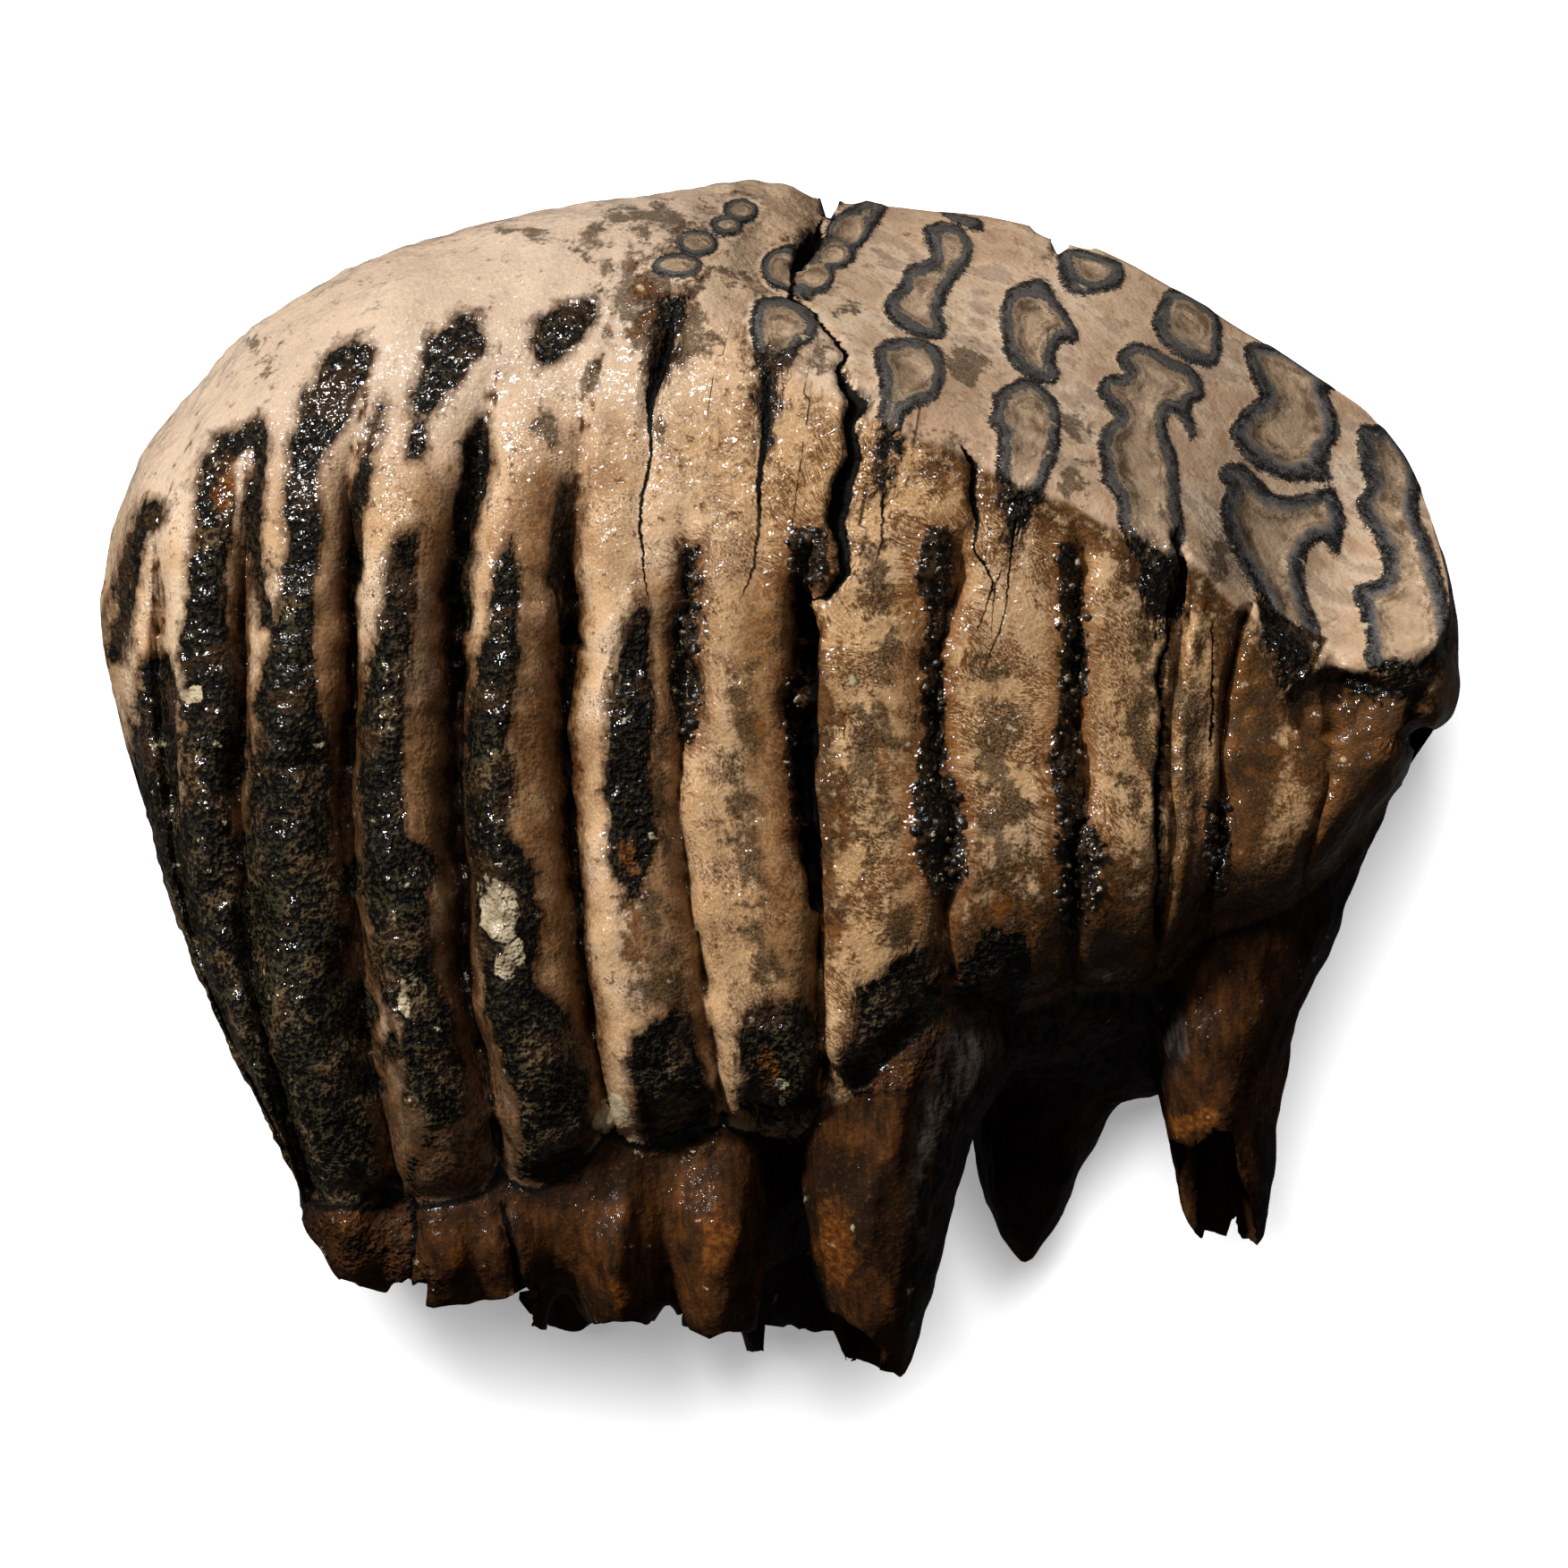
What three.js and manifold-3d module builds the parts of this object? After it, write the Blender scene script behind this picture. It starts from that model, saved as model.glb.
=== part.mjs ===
// A young woolly mammoth's molar, whole and unrestored, lying on its far side.
//
// Millimetres, +Z up. +X runs along the tooth from its unworn back to its worn front,
// +Y from the roots to the chewing end, and Z across its width. It rests on Z = 0, and
// the middle of its outline is on the Z axis.
//
// The tooth grew as one piece, so it is one solid: a crown of upright plates, each of
// which shows as a ridge on both sides, and the roots that carry it. Between two plates
// runs a groove, and the grooves' lines, seen from above, lay out the whole crown. A
// place in the crown is given by t, counted in plates from the back edge, by s, the
// length along the groove-wise line there from the base up, and by z.
import * as THREE from "three";
import { ParametricGeometry } from "three/addons/geometries/ParametricGeometry.js";
import { mergeVertices } from "three/addons/utils/BufferGeometryUtils.js";
import Module from "manifold-3d";

const wasm = await Module();
wasm.setup();

// The crown's width across its broadest plates, what it loses from the eighth plate to
// the front, and how many plates its round back takes to reach full width
const WIDTH = 52;
const FRONT_TAPER = 15;
const BACK_ROUND = 4;

// Height of the crown's middle plane above what the tooth rests on. The broadest plates
// reach a little lower, where their crests are worn flat.
const MID_HEIGHT = 25;

// Where the middle of the outline falls in the places listed below
const PLAN_CENTRE = { x: -0.17, y: 0.68 };

// Lines of the grooves from the crown's base to its top, [x, y], with the crown's own
// back and front edges first and last. The fourth point is on the rim of the worn face.
const GROOVES = [
  [[-41.5, -35.8], [-52.3, -11.8], [-59.0, 12.8], [-56.4, 27.6], [-49.5, 36.7]],
  [[-40.8, -36.0], [-51.4, -11.8], [-53.7, 11.6], [-53.4, 24.8], [-46.0, 39.8]],
  [[-40.4, -36.4], [-45.9, -11.8], [-46.3, 10.8], [-45.1, 29.5], [-39.4, 43.7]],
  [[-32.7, -36.8], [-36.2, -12.6], [-37.2, 9.2], [-35.6, 32.6], [-30.4, 47.1]],
  [[-23.6, -35.6], [-27.1, -12.6], [-28.3, 9.2], [-25.7, 31.1], [-20.6, 49.6]],
  [[-14.2, -32.1], [-17.0, -11.8], [-18.3, 9.2], [-15.8, 34.2], [-11.3, 51.4]],
  [[-4.9, -29.4], [-7.5, -9.5], [-8.8, 9.2], [-7.0, 35.0], [-1.9, 51.9]],
  [[4.0, -28.6], [2.9, -9.5], [1.8, 9.2], [5.1, 35.0], [8.6, 50.7]],
  [[14.5, -21.2], [14.3, -6.4], [13.2, 9.2], [17.2, 30.3], [19.5, 48.7]],
  [[24.6, -16.9], [25.4, -4.0], [25.2, 9.2], [26.2, 26.0], [29.7, 45.3]],
  [[32.0, -16.1], [33.4, -4.0], [33.5, 7.7], [34.9, 21.3], [39.8, 39.8]],
  [[35.9, -13.0], [37.4, -3.2], [38.0, 6.1], [40.4, 16.1], [46.1, 36.2]],
  [[44.1, -9.5], [46.4, -1.7], [47.4, 4.6], [47.8, 12.0], [51.9, 32.8]],
  [[54.1, 0.8], [55.4, 4.2], [58.1, 6.9], [58.6, 13.1], [55.7, 28.7]],
];
const PLATES = GROOVES.length - 1;

// Depth of each of those lines below the ridges beside it, on the upper side and on the
// side that the tooth lies on, and the most that it takes of the width
const UPPER_DEPTH = [0, 4.5, 6.5, 8, 8, 7, 5.5, 7, 3.2, 3.2, 2.4, 3, 1.2, 0];
const LOWER_DEPTH = [0, 3, 4.5, 5.5, 5.5, 5, 4.5, 4.5, 4, 3.5, 3, 2.5, 1.2, 0];
const DEEPEST = 0.32;

// The worn face slopes from a rim on the upper side, at a share of the half width, down
// to a height below the middle plane
const RIM_SHARE = 0.9;
const WORN_FOOT = -16;

// Roots, each [x, y, z, half width, half depth] from where it starts in the crown to its
// tip: the upper row as it lies, the front root under the worn end, and the lower row
const UPPER_ROOTS = [
  [[-36.5, -28, 31, 6, 9], [-36.4, -37, 33, 4.0, 8.5], [-35.5, -41, 33, 3.2, 7], [-34.6, -44.8, 33, 1.6, 4]],
  [[-29.2, -28, 33, 6, 9], [-29.2, -38, 35.5, 4.7, 8.5], [-29.2, -45.8, 35, 4.4, 6.5]],
  [[-23.5, -28, 34, 5.5, 9], [-24, -40, 36, 3.6, 8], [-24.1, -48.0, 36, 2.4, 5]],
  [[-13, -25, 34, 6, 10], [-13.9, -40, 37, 3.9, 9], [-13.9, -47.7, 37, 2.8, 6]],
  [[-5.5, -22, 34, 6.5, 10], [-5.8, -38, 37.5, 3.9, 9.5], [-5.2, -48.2, 37, 3.4, 6.5]],
  [[11, -6, 30, 8, 10], [10.6, -21, 35.5, 10.2, 11], [9.0, -30, 36.5, 8.0, 10], [8.0, -41, 36, 5.6, 8], [8.4, -52, 34, 2.8, 5]],
];
const FRONT_ROOT = [
  [44, 12, 24, 8, 12],
  [43.2, 1, 25, 10.4, 14.5],
  [39.6, -12.6, 25.5, 9.2, 14.5],
  [38.0, -21, 27, 7.0, 13],
  [38.0, -29, 28, 5.2, 10.5],
  [39.1, -41, 28, 3.7, 6.5],
];
const LOWER_ROOTS = [
  [[-35, -28, 15, 6, 9], [-35, -38, 14, 4, 7], [-33.6, -43.5, 14, 2.6, 4.5]],
  [[-28, -28, 15, 7, 9], [-27.5, -40, 12.5, 4.5, 7], [-27, -46, 13, 3, 4.5]],
  [[-18.5, -25, 16, 7, 9], [-18.6, -40, 14, 4.2, 7], [-18.4, -49.0, 14, 2.8, 4.5]],
  [[-1.5, -22, 16, 7, 9], [-0.5, -38, 14, 4.6, 7.5], [-1.8, -46, 14, 2.6, 5], [-2.4, -51.4, 14, 1, 2]],
  [[9, -18, 15, 7, 9], [6.5, -36, 13, 5, 7], [4.4, -49.6, 14.5, 3.4, 5]],
  [[24, -8, 15, 9, 10], [22.5, -27, 13, 5.2, 7.5], [21.4, -36, 14, 4.0, 5.5], [21.3, -43.2, 14, 1.6, 2.8]],
];

// The stock under the crown, in two parts, from which the roots grow
const STOCKS = [
  [[-17, -20, 25, 20, 20], [-18, -33, 25, 22, 19.5], [-18, -37.5, 25, 20.5, 18], [-17, -40, 25, 17, 14]],
  [[20, 4, 23, 20, 19], [23, -12, 21, 17, 17], [25, -22, 17, 12.5, 11], [26, -28, 14, 8, 6]],
];

// Hollows in the broken ends of the front root and of the longest one
const ROOT_HOLLOWS = [
  [[38.0, -28, 30, 1.6, 3.5], [38.4, -36, 29.5, 2.6, 6.0], [38.9, -46, 29, 3.0, 6.5]],
  [[8.0, -40, 36, 1.2, 2.0], [7.8, -46, 35, 2.2, 3.6], [8.0, -56, 34, 2.6, 4.5]],
];

// What is broken away, each as an outline in plan with its lowest and highest z: two
// notches in the top edge, the upper walls of those two root ends, and the cleft that
// parts the front one
const BREAKS = [
  { outline: [[4.0, 54], [1.5, 45.0], [5.9, 54]], low: -2, high: 34 },
  { outline: [[22.6, 52], [22.7, 43.6], [25.4, 50]], low: -2, high: 30 },
  {
    outline: [
      [32.0, -29.9],
      [32.0, -44],
      [41.0, -44],
      [40.6, -35.4],
      [39.3, -32.9],
      [38.8, -29.9],
      [37.2, -29.6],
      [35.5, -31.3],
    ],
    low: 29,
    high: 50,
  },
  {
    outline: [[0.4, -43.8], [-0.4, -54], [7.8, -54], [8.6, -48.5], [7.1, -46.9], [4.7, -45.7], [2.4, -44.6]],
    low: 34.5,
    high: 50,
  },
  { outline: [[36.8, -44], [40.9, -44], [39.4, -37.7]], low: 10, high: 40 },
];

// A small bead of cement that sits in the groove before the sixth plate, near its base
const BEAD = { radius: 1.7, x: -14.8, y: -28.6, z: 43.5 };

// How finely the forms are drawn
const COLUMNS_PER_PLATE = 5;
const CROWN_ROWS = 46;
const LINE_STEPS = 40;
const ROOT_SIDES = 12;
const ROOT_RINGS = 8;

const smooth = THREE.MathUtils.smoothstep;
const mix = THREE.MathUtils.lerp;

// Value at place t of a list that has one number for each groove line
function along(values, t) {
  const i = Math.min(Math.floor(t), values.length - 2);
  return mix(values[i], values[i + 1], t - i);
}

// The line at place t, as a curve in plan, blended from the two grooves on either side
function lineAt(t) {
  const i = Math.min(Math.floor(t), PLATES - 1);
  const f = t - i;
  const points = GROOVES[i].map((_, n) => {
    const [a, b, c, d] = [-1, 0, 1, 2].map(
      (k) => GROOVES[THREE.MathUtils.clamp(i + k, 0, PLATES)][n],
    );
    const blend = (k) =>
      b[k] + 0.5 * f * (c[k] - a[k] + f * (2 * a[k] - 5 * b[k] + 4 * c[k] - d[k] + f * (3 * (b[k] - c[k]) + d[k] - a[k])));
    return new THREE.Vector3(blend(0), blend(1), 0);
  });
  return new THREE.CatmullRomCurve3(points, false, "catmullrom", 0.5);
}

const lines = new Map();

// A line with its length, and the length at which it meets the worn face's rim
function measuredLine(t) {
  if (!lines.has(t)) {
    const curve = lineAt(t);
    curve.arcLengthDivisions = LINE_STEPS;
    const lengths = curve.getLengths(LINE_STEPS);
    lines.set(t, { curve, length: lengths[LINE_STEPS], rim: lengths[(LINE_STEPS * 3) / 4] });
  }
  return lines.get(t);
}

// The place in plan a given length along a line, carried straight on past its ends
function placeOnLine(line, s) {
  const share = s / line.length;
  const held = THREE.MathUtils.clamp(share, 0, 1);
  const point = line.curve.getPointAt(held);
  return share === held
    ? point
    : point.addScaledVector(line.curve.getTangentAt(held), s - held * line.length);
}

// The crown's width at place t: round at the back, broad in the middle, blunt in front
function widthAt(t) {
  const back = Math.pow(1 - Math.pow(1 - Math.min(t / BACK_ROUND, 1), 2), 0.62);
  const front = Math.sqrt(1 - Math.pow(Math.max(t - PLATES + 1, 0), 5));
  return (WIDTH - FRONT_TAPER * smooth(t, 7, PLATES)) * back * front;
}

// How deep the crown is grooved at place t and at share h of its height. Grooves run
// out below the top and are shallower at the very foot.
function grooveDepth(t, h, upper) {
  const depth = along(upper ? UPPER_DEPTH : LOWER_DEPTH, t);
  const end = upper ? mix(0.86, 0.8, smooth(t, 6, 9)) : 0.9;
  return depth * (1 - smooth(h, end - 0.26, end)) * mix(0.55, 1, smooth(h, 0, 0.12));
}

// 0 on a ridge's crest and 1 in the groove's bottom. The back plates lean, so that their
// crests lie nearer to the groove behind them than to the one in front.
function grooveShape(t) {
  const crest = mix(0.36, 0.5, smooth(t, 6, 9));
  const f = t - Math.floor(t);
  const across = f < crest ? (crest - f) / crest : (f - crest) / (1 - crest);
  return 1 - Math.sqrt(Math.max(1 - Math.pow(across, mix(2, 3, smooth(t, 6, 9))), 0));
}

// The worn face at place t: its rim, how steeply it falls away to the lower side, how
// far outside the tooth it lies where nothing is worn, and how soft its rim is
function wearAt(t, line) {
  const rimZ = (RIM_SHARE * (WIDTH - FRONT_TAPER * smooth(t, 7, PLATES))) / 2;
  return {
    rimZ,
    tilt: Math.atan2(line.length - line.rim, rimZ - WORN_FOOT),
    lift: 14 * (1 - smooth(t, 3.5, 7.5)),
    soft: mix(3.2, 0.6, smooth(t, 6, 10)),
  };
}

// A point of the crown at place t. The angle runs once round the tooth from its top over
// the upper side to its base, and back by the lower side.
function crownPoint(t, angle, target) {
  const line = measuredLine(t);
  const width = widthAt(t);
  const up = Math.cos(angle);
  const side = Math.sin(angle);

  // The plain section is a rounded box, boxier at the base. Where the tooth is worn it
  // is drawn taller, for the worn face to cut.
  const middle = 0.46 * line.length;
  const worn = smooth(t, 4.8, 8.2);
  const reach = up > 0 ? (line.length - middle) * mix(1.02, 1.4, worn) : middle;
  const power = up > 0 ? mix(2.3, 2.7, worn) : 3.6;
  const round = (v) => Math.sign(v) * Math.pow(Math.abs(v), 2 / power);
  let s = middle + reach * round(up);
  let z = (width / 2) * round(side);

  // The grooves bite inwards, square to the section
  const outS = (s - middle) / (reach * reach);
  const outZ = z / Math.max((width * width) / 4, 1e-6);
  const out = Math.hypot(outS, outZ) || 1;
  const bite = Math.min(
    grooveDepth(t, s / line.length, side > 0) * grooveShape(t),
    DEEPEST * width * Math.abs(side),
  );
  s -= (bite * outS) / out;
  z -= (bite * outZ) / out;

  // The worn face takes off what stands past it
  const wear = wearAt(t, line);
  const [faceS, faceZ] = [Math.cos(wear.tilt), Math.sin(wear.tilt)];
  const past = (s - line.rim) * faceS + (z - wear.rimZ) * faceZ - wear.lift;
  const steep = Math.min(past / wear.soft, 30);
  const cut = wear.soft * Math.log1p(Math.exp(steep)) + Math.max(past - steep * wear.soft, 0);
  s -= cut * faceS;
  z -= cut * faceZ;

  const place = placeOnLine(line, s);
  return target.set(place.x, place.y, Math.max(MID_HEIGHT + z, 0));
}

// Columns crowd towards the grooves, where the surface turns fastest
function crownGeometry() {
  return new ParametricGeometry(
    (u, v, target) => {
      const t = u * PLATES;
      const plate = Math.min(Math.floor(t + 1e-9), PLATES - 1);
      const f = 2 * (t - plate) - 1;
      const crowded = plate + 0.5 + 0.5 * Math.sign(f) * Math.pow(Math.abs(f), 0.7);
      crownPoint(Math.min(crowded, PLATES), v * 2 * Math.PI, target);
    },
    PLATES * COLUMNS_PER_PLATE,
    CROWN_ROWS,
  );
}

// A root, or a hollow in one, as a tapering tube with a rounded tip
function rootGeometry(stations) {
  const curve = (points) => new THREE.CatmullRomCurve3(points, false, "centripetal");
  const axis = curve(stations.map(([x, y, z]) => new THREE.Vector3(x, y, z)));
  const girth = curve(stations.map(([, , , wide, deep], i) => new THREE.Vector3(wide, deep, i)));
  return new ParametricGeometry(
    (u, v, target) => {
      const down = 1 - Math.pow(1 - v, 1.3);
      axis.getPoint(down, target);
      const { x: wide, y: deep } = girth.getPoint(down);
      const shut = v < 0.5 ? Math.min(v * ROOT_RINGS, 1) : Math.pow(1 - Math.pow(v, 9), 0.4);
      target.x += wide * shut * Math.cos(u * 2 * Math.PI);
      target.z += deep * shut * Math.sin(u * 2 * Math.PI);
    },
    ROOT_SIDES,
    ROOT_RINGS,
  );
}

function breakGeometry({ outline, low, high }) {
  const shape = new THREE.Shape(outline.map(([x, y]) => new THREE.Vector2(x, y)));
  const depth = high - low;
  return new THREE.ExtrudeGeometry(shape, { depth, bevelEnabled: false }).translate(0, 0, low);
}

function beadGeometry({ radius, x, y, z }) {
  return new THREE.IcosahedronGeometry(radius, 1).translate(x, y, z);
}

// A closed solid from a geometry whose seams and collapsed edges have only to be merged
function solidOf(geometry) {
  geometry.deleteAttribute("normal");
  geometry.deleteAttribute("uv");
  const merged = mergeVertices(geometry, 1e-3);
  const faces = [];
  for (let i = 0; i < merged.index.count; i += 3) {
    const [a, b, c] = [0, 1, 2].map((k) => merged.index.getX(i + k));
    if (a !== b && b !== c && c !== a) faces.push(a, b, c);
  }
  const vertProperties = new Float32Array(merged.attributes.position.array);
  const made = (triVerts) =>
    new wasm.Manifold(new wasm.Mesh({ numProp: 3, vertProperties, triVerts }));
  const solid = made(new Uint32Array(faces));
  return solid.volume() > 0 ? solid : made(new Uint32Array(faces.reverse()));
}

function geometryOf(solid) {
  const mesh = solid.getMesh();
  return new THREE.BufferGeometry()
    .setAttribute("position", new THREE.BufferAttribute(mesh.vertProperties, 3))
    .setIndex(new THREE.BufferAttribute(mesh.triVerts, 1));
}

function toothSolid() {
  let solid = solidOf(crownGeometry());
  for (const stations of [...STOCKS, ...UPPER_ROOTS, FRONT_ROOT, ...LOWER_ROOTS])
    solid = solid.add(solidOf(rootGeometry(stations)));
  for (const stations of ROOT_HOLLOWS) solid = solid.subtract(solidOf(rootGeometry(stations)));
  for (const piece of BREAKS) solid = solid.subtract(solidOf(breakGeometry(piece)));
  return solid.add(solidOf(beadGeometry(BEAD)));
}

const cement = new THREE.MeshStandardMaterial({ color: 0xb08d6c, roughness: 0.4, metalness: 0 });
const molar = new THREE.Mesh(geometryOf(toothSolid()), cement);
molar.name = "molar";
molar.position.set(-PLAN_CENTRE.x, -PLAN_CENTRE.y, 0);

const tooth = new THREE.Group();
tooth.add(molar);
export default tooth;
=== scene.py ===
"""A young woolly mammoth's molar, lying on its far side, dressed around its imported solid."""

from types import SimpleNamespace

import bmesh
import bpy
import numpy as np
from mathutils import Euler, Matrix, Vector, kdtree, noise


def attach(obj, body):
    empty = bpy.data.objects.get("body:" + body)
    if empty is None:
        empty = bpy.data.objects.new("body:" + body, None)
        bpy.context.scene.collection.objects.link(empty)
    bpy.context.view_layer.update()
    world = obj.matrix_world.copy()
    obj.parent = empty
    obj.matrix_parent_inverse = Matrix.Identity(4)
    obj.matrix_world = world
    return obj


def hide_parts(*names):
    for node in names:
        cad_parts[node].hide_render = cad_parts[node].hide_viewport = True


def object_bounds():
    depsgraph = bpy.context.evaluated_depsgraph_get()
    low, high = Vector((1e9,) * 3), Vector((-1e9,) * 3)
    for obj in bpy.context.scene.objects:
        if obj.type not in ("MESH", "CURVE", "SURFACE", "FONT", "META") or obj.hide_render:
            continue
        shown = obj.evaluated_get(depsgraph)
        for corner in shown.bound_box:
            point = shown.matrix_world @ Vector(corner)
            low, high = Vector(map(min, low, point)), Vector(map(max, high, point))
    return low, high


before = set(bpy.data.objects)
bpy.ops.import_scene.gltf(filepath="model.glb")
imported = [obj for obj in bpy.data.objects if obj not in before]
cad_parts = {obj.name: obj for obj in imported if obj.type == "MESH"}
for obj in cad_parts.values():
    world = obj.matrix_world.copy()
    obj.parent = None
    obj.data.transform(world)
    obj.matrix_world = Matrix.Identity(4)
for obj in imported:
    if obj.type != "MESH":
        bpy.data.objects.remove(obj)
solid_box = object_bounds()

MM = 0.001

# The photograph
# Straight above the tooth. Places seen in it are pixels, and stand for places on a level
# plane about halfway up the tooth.
PHOTO_PIXEL = 0.078  # mm
PHOTO_SIZE = 1753  # pixels, both ways
PHOTO_MIDDLE = (874.5, 878.5)
CAMERA_HEIGHT = 1200.0  # mm
LEVEL = 24.0  # mm
PHOTO_CENTRE = np.array((PHOTO_SIZE, PHOTO_SIZE)) / 2
FILM = 36.0  # mm
PLAN_CENTRE = np.array((-0.17, 0.68))

# The crown's plan
# Millimetres. Lines of the grooves from the crown's base to its top, with its back and
# front edges first and last. The fourth point is on the rim of the worn face.
GROOVES = np.array([
    [(-41.5, -35.8), (-52.3, -11.8), (-59.0, 12.8), (-56.4, 27.6), (-49.5, 36.7)],
    [(-40.8, -36.0), (-51.4, -11.8), (-53.7, 11.6), (-53.4, 24.8), (-46.0, 39.8)],
    [(-40.4, -36.4), (-45.9, -11.8), (-46.3, 10.8), (-45.1, 29.5), (-39.4, 43.7)],
    [(-32.7, -36.8), (-36.2, -12.6), (-37.2, 9.2), (-35.6, 32.6), (-30.4, 47.1)],
    [(-23.6, -35.6), (-27.1, -12.6), (-28.3, 9.2), (-25.7, 31.1), (-20.6, 49.6)],
    [(-14.2, -32.1), (-17.0, -11.8), (-18.3, 9.2), (-15.8, 34.2), (-11.3, 51.4)],
    [(-4.9, -29.4), (-7.5, -9.5), (-8.8, 9.2), (-7.0, 35.0), (-1.9, 51.9)],
    [(4.0, -28.6), (2.9, -9.5), (1.8, 9.2), (5.1, 35.0), (8.6, 50.7)],
    [(14.5, -21.2), (14.3, -6.4), (13.2, 9.2), (17.2, 30.3), (19.5, 48.7)],
    [(24.6, -16.9), (25.4, -4.0), (25.2, 9.2), (26.2, 26.0), (29.7, 45.3)],
    [(32.0, -16.1), (33.4, -4.0), (33.5, 7.7), (34.9, 21.3), (39.8, 39.8)],
    [(35.9, -13.0), (37.4, -3.2), (38.0, 6.1), (40.4, 16.1), (46.1, 36.2)],
    [(44.1, -9.5), (46.4, -1.7), (47.4, 4.6), (47.8, 12.0), (51.9, 32.8)],
    [(54.1, 0.8), (55.4, 4.2), (58.1, 6.9), (58.6, 13.1), (55.7, 28.7)],
])
PLATES = len(GROOVES) - 1
UPPER_DEPTH = np.array([0, 4.5, 6.5, 8, 8, 7, 4, 6, 3.2, 3.2, 2.4, 3, 1.2, 0])
LOWER_DEPTH = np.array([0, 3, 4.5, 5.5, 5.5, 5, 4.5, 4.5, 4, 3.5, 3, 2.5, 1.2, 0])
DEEPEST = 0.32
WIDTH, FRONT_TAPER, BACK_ROUND, MID_HEIGHT = 52.0, 15.0, 4.0, 25.0
RIM_SHARE, WORN_FOOT = 0.9, -16.0
# The crown is thickest at this share of its height, and at the back the worn face's plane
# passes this far above it, in mm
THICKEST, BACK_LIFT = 0.46, 14.0
# Vertices this close are one, in metres
WELD = 2e-6

# Roots, each [x, y, z, half width, half depth] from where it starts to its tip
UPPER_ROOTS = [
    [(-36.5, -28, 31, 6, 9), (-36.8, -37, 34, 4.6, 9.5), (-36, -41, 34, 3.6, 8), (-34.9, -44.8, 33, 1.8, 4)],
    [(-29.2, -28, 33, 6, 9), (-28.9, -38, 35.5, 5.4, 9.5), (-28.9, -46.2, 35, 4.9, 7.5)],
    [(-23.5, -28, 31, 5.5, 8), (-23.6, -38, 36, 4.4, 9), (-22.8, -48.4, 36, 2.8, 6)],
    [(-13, -25, 30, 6, 8), (-14.1, -38, 36.5, 5.0, 9), (-13.8, -48.0, 37, 2.8, 6.5)],
    [(-5.5, -22, 31, 6.5, 9), (-5.6, -37, 37, 4.8, 9), (-5.4, -48.6, 37, 3.4, 7)],
    [(11, -6, 30, 8, 10), (10.6, -21, 35.5, 10.2, 11), (9.0, -30, 36.5, 8.0, 10),
     (8.0, -41, 36, 5.6, 8), (8.4, -52, 34, 2.8, 5)],
]
FRONT_ROOT = [
    (44, 12, 24, 8, 12), (43.2, 1, 25, 10.4, 14.5), (39.6, -12.6, 25.5, 9.2, 14.5),
    (38.0, -21, 27, 7.0, 13), (38.0, -29, 28, 5.2, 10.5), (39.1, -41, 28, 3.7, 6.5),
]
LOWER_ROOTS = [
    [(-35, -28, 15, 6, 9), (-35, -38, 14, 4, 7), (-33.6, -43.5, 14, 2.6, 4.5)],
    [(-28, -28, 15, 7, 9), (-27.5, -40, 12.5, 4.5, 7), (-27, -46, 13, 3, 4.5)],
    [(-18.5, -25, 16, 7, 9), (-18.6, -40, 14, 4.2, 7), (-18.4, -49.0, 14, 2.8, 4.5)],
    [(-1.5, -22, 16, 7, 9), (-0.5, -38, 14, 4.6, 7.5), (-1.8, -46, 14, 2.6, 5), (-2.4, -51.4, 14, 1, 2)],
    [(9, -18, 15, 7, 9), (6.5, -36, 13, 5, 7), (4.4, -49.6, 14.5, 3.4, 5)],
    [(24, -8, 15, 9, 10), (24.4, -24, 13, 7.2, 8), (22.3, -31, 13, 5.6, 7), (21.4, -37, 14, 3.8, 5.5),
     (21.5, -42.8, 14, 0.9, 2)],
]
STOCKS = [
    [(-17, -20, 25, 20, 20), (-18.5, -34, 25, 22.3, 19.8), (-19, -40, 25.5, 21, 18),
     (-19.5, -43.8, 26.5, 17, 14.5)],
    [(20, 4, 23, 20, 19), (23, -12, 21, 17, 17), (25, -22, 17, 12.5, 11), (26, -28, 14, 8, 6)],
    [(22, -2, 28, 12, 11), (22.5, -12, 29.5, 13.5, 10.5), (21.5, -19, 30.5, 11.5, 9),
     (19.5, -24.5, 31, 6, 5)],
]
ROOT_HOLLOWS = [
    [(38.0, -28, 30, 1.6, 3.5), (38.4, -36, 29.5, 2.6, 6.0), (38.9, -46, 29, 3.0, 6.5)],
    [(8.0, -40, 36, 1.2, 2.0), (7.8, -46, 35, 2.2, 3.6), (8.0, -56, 34, 2.6, 4.5)],
]
# Broken away, each as an outline in plan with its lowest and highest z
BREAKS = [
    ([(4.0, 54), (3.9, 49.6), (5.4, 53)], -2, 34),
    ([(4.2, 50.6), (1.5, 45.0), (4.4, 50.2)], 24, 50),
    ([(23.8, 52), (24.4, 46.4), (25.6, 50)], -2, 30),
    ([(22.6, 47.2), (22.9, 43.8), (24.3, 44.4), (24.5, 47.6)], 27, 50),
    ([(32.0, -29.9), (32.0, -44), (41.0, -44), (40.6, -35.4), (39.3, -32.9), (38.8, -29.9),
      (37.2, -29.6), (35.5, -31.3)], 29, 50),
    ([(0.4, -43.8), (-0.4, -54), (7.8, -54), (8.6, -48.5), (7.1, -46.9), (4.7, -45.7),
      (2.4, -44.6)], 34.5, 50),
    ([(36.8, -44), (40.9, -44), (39.4, -37.7)], 10, 40),
]
TIP_LOSS, TIP_RAGGED, TIP_REACH, TIP_DEPTH = 1.2, 0.45, 2.5, 9.0  # mm
BELOW, ABOVE = -2.0, 60.0  # mm, clear of the tooth
BEAD = (-14.8, -28.6, 43.5)
BEAD_RADIUS = 1.7

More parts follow.
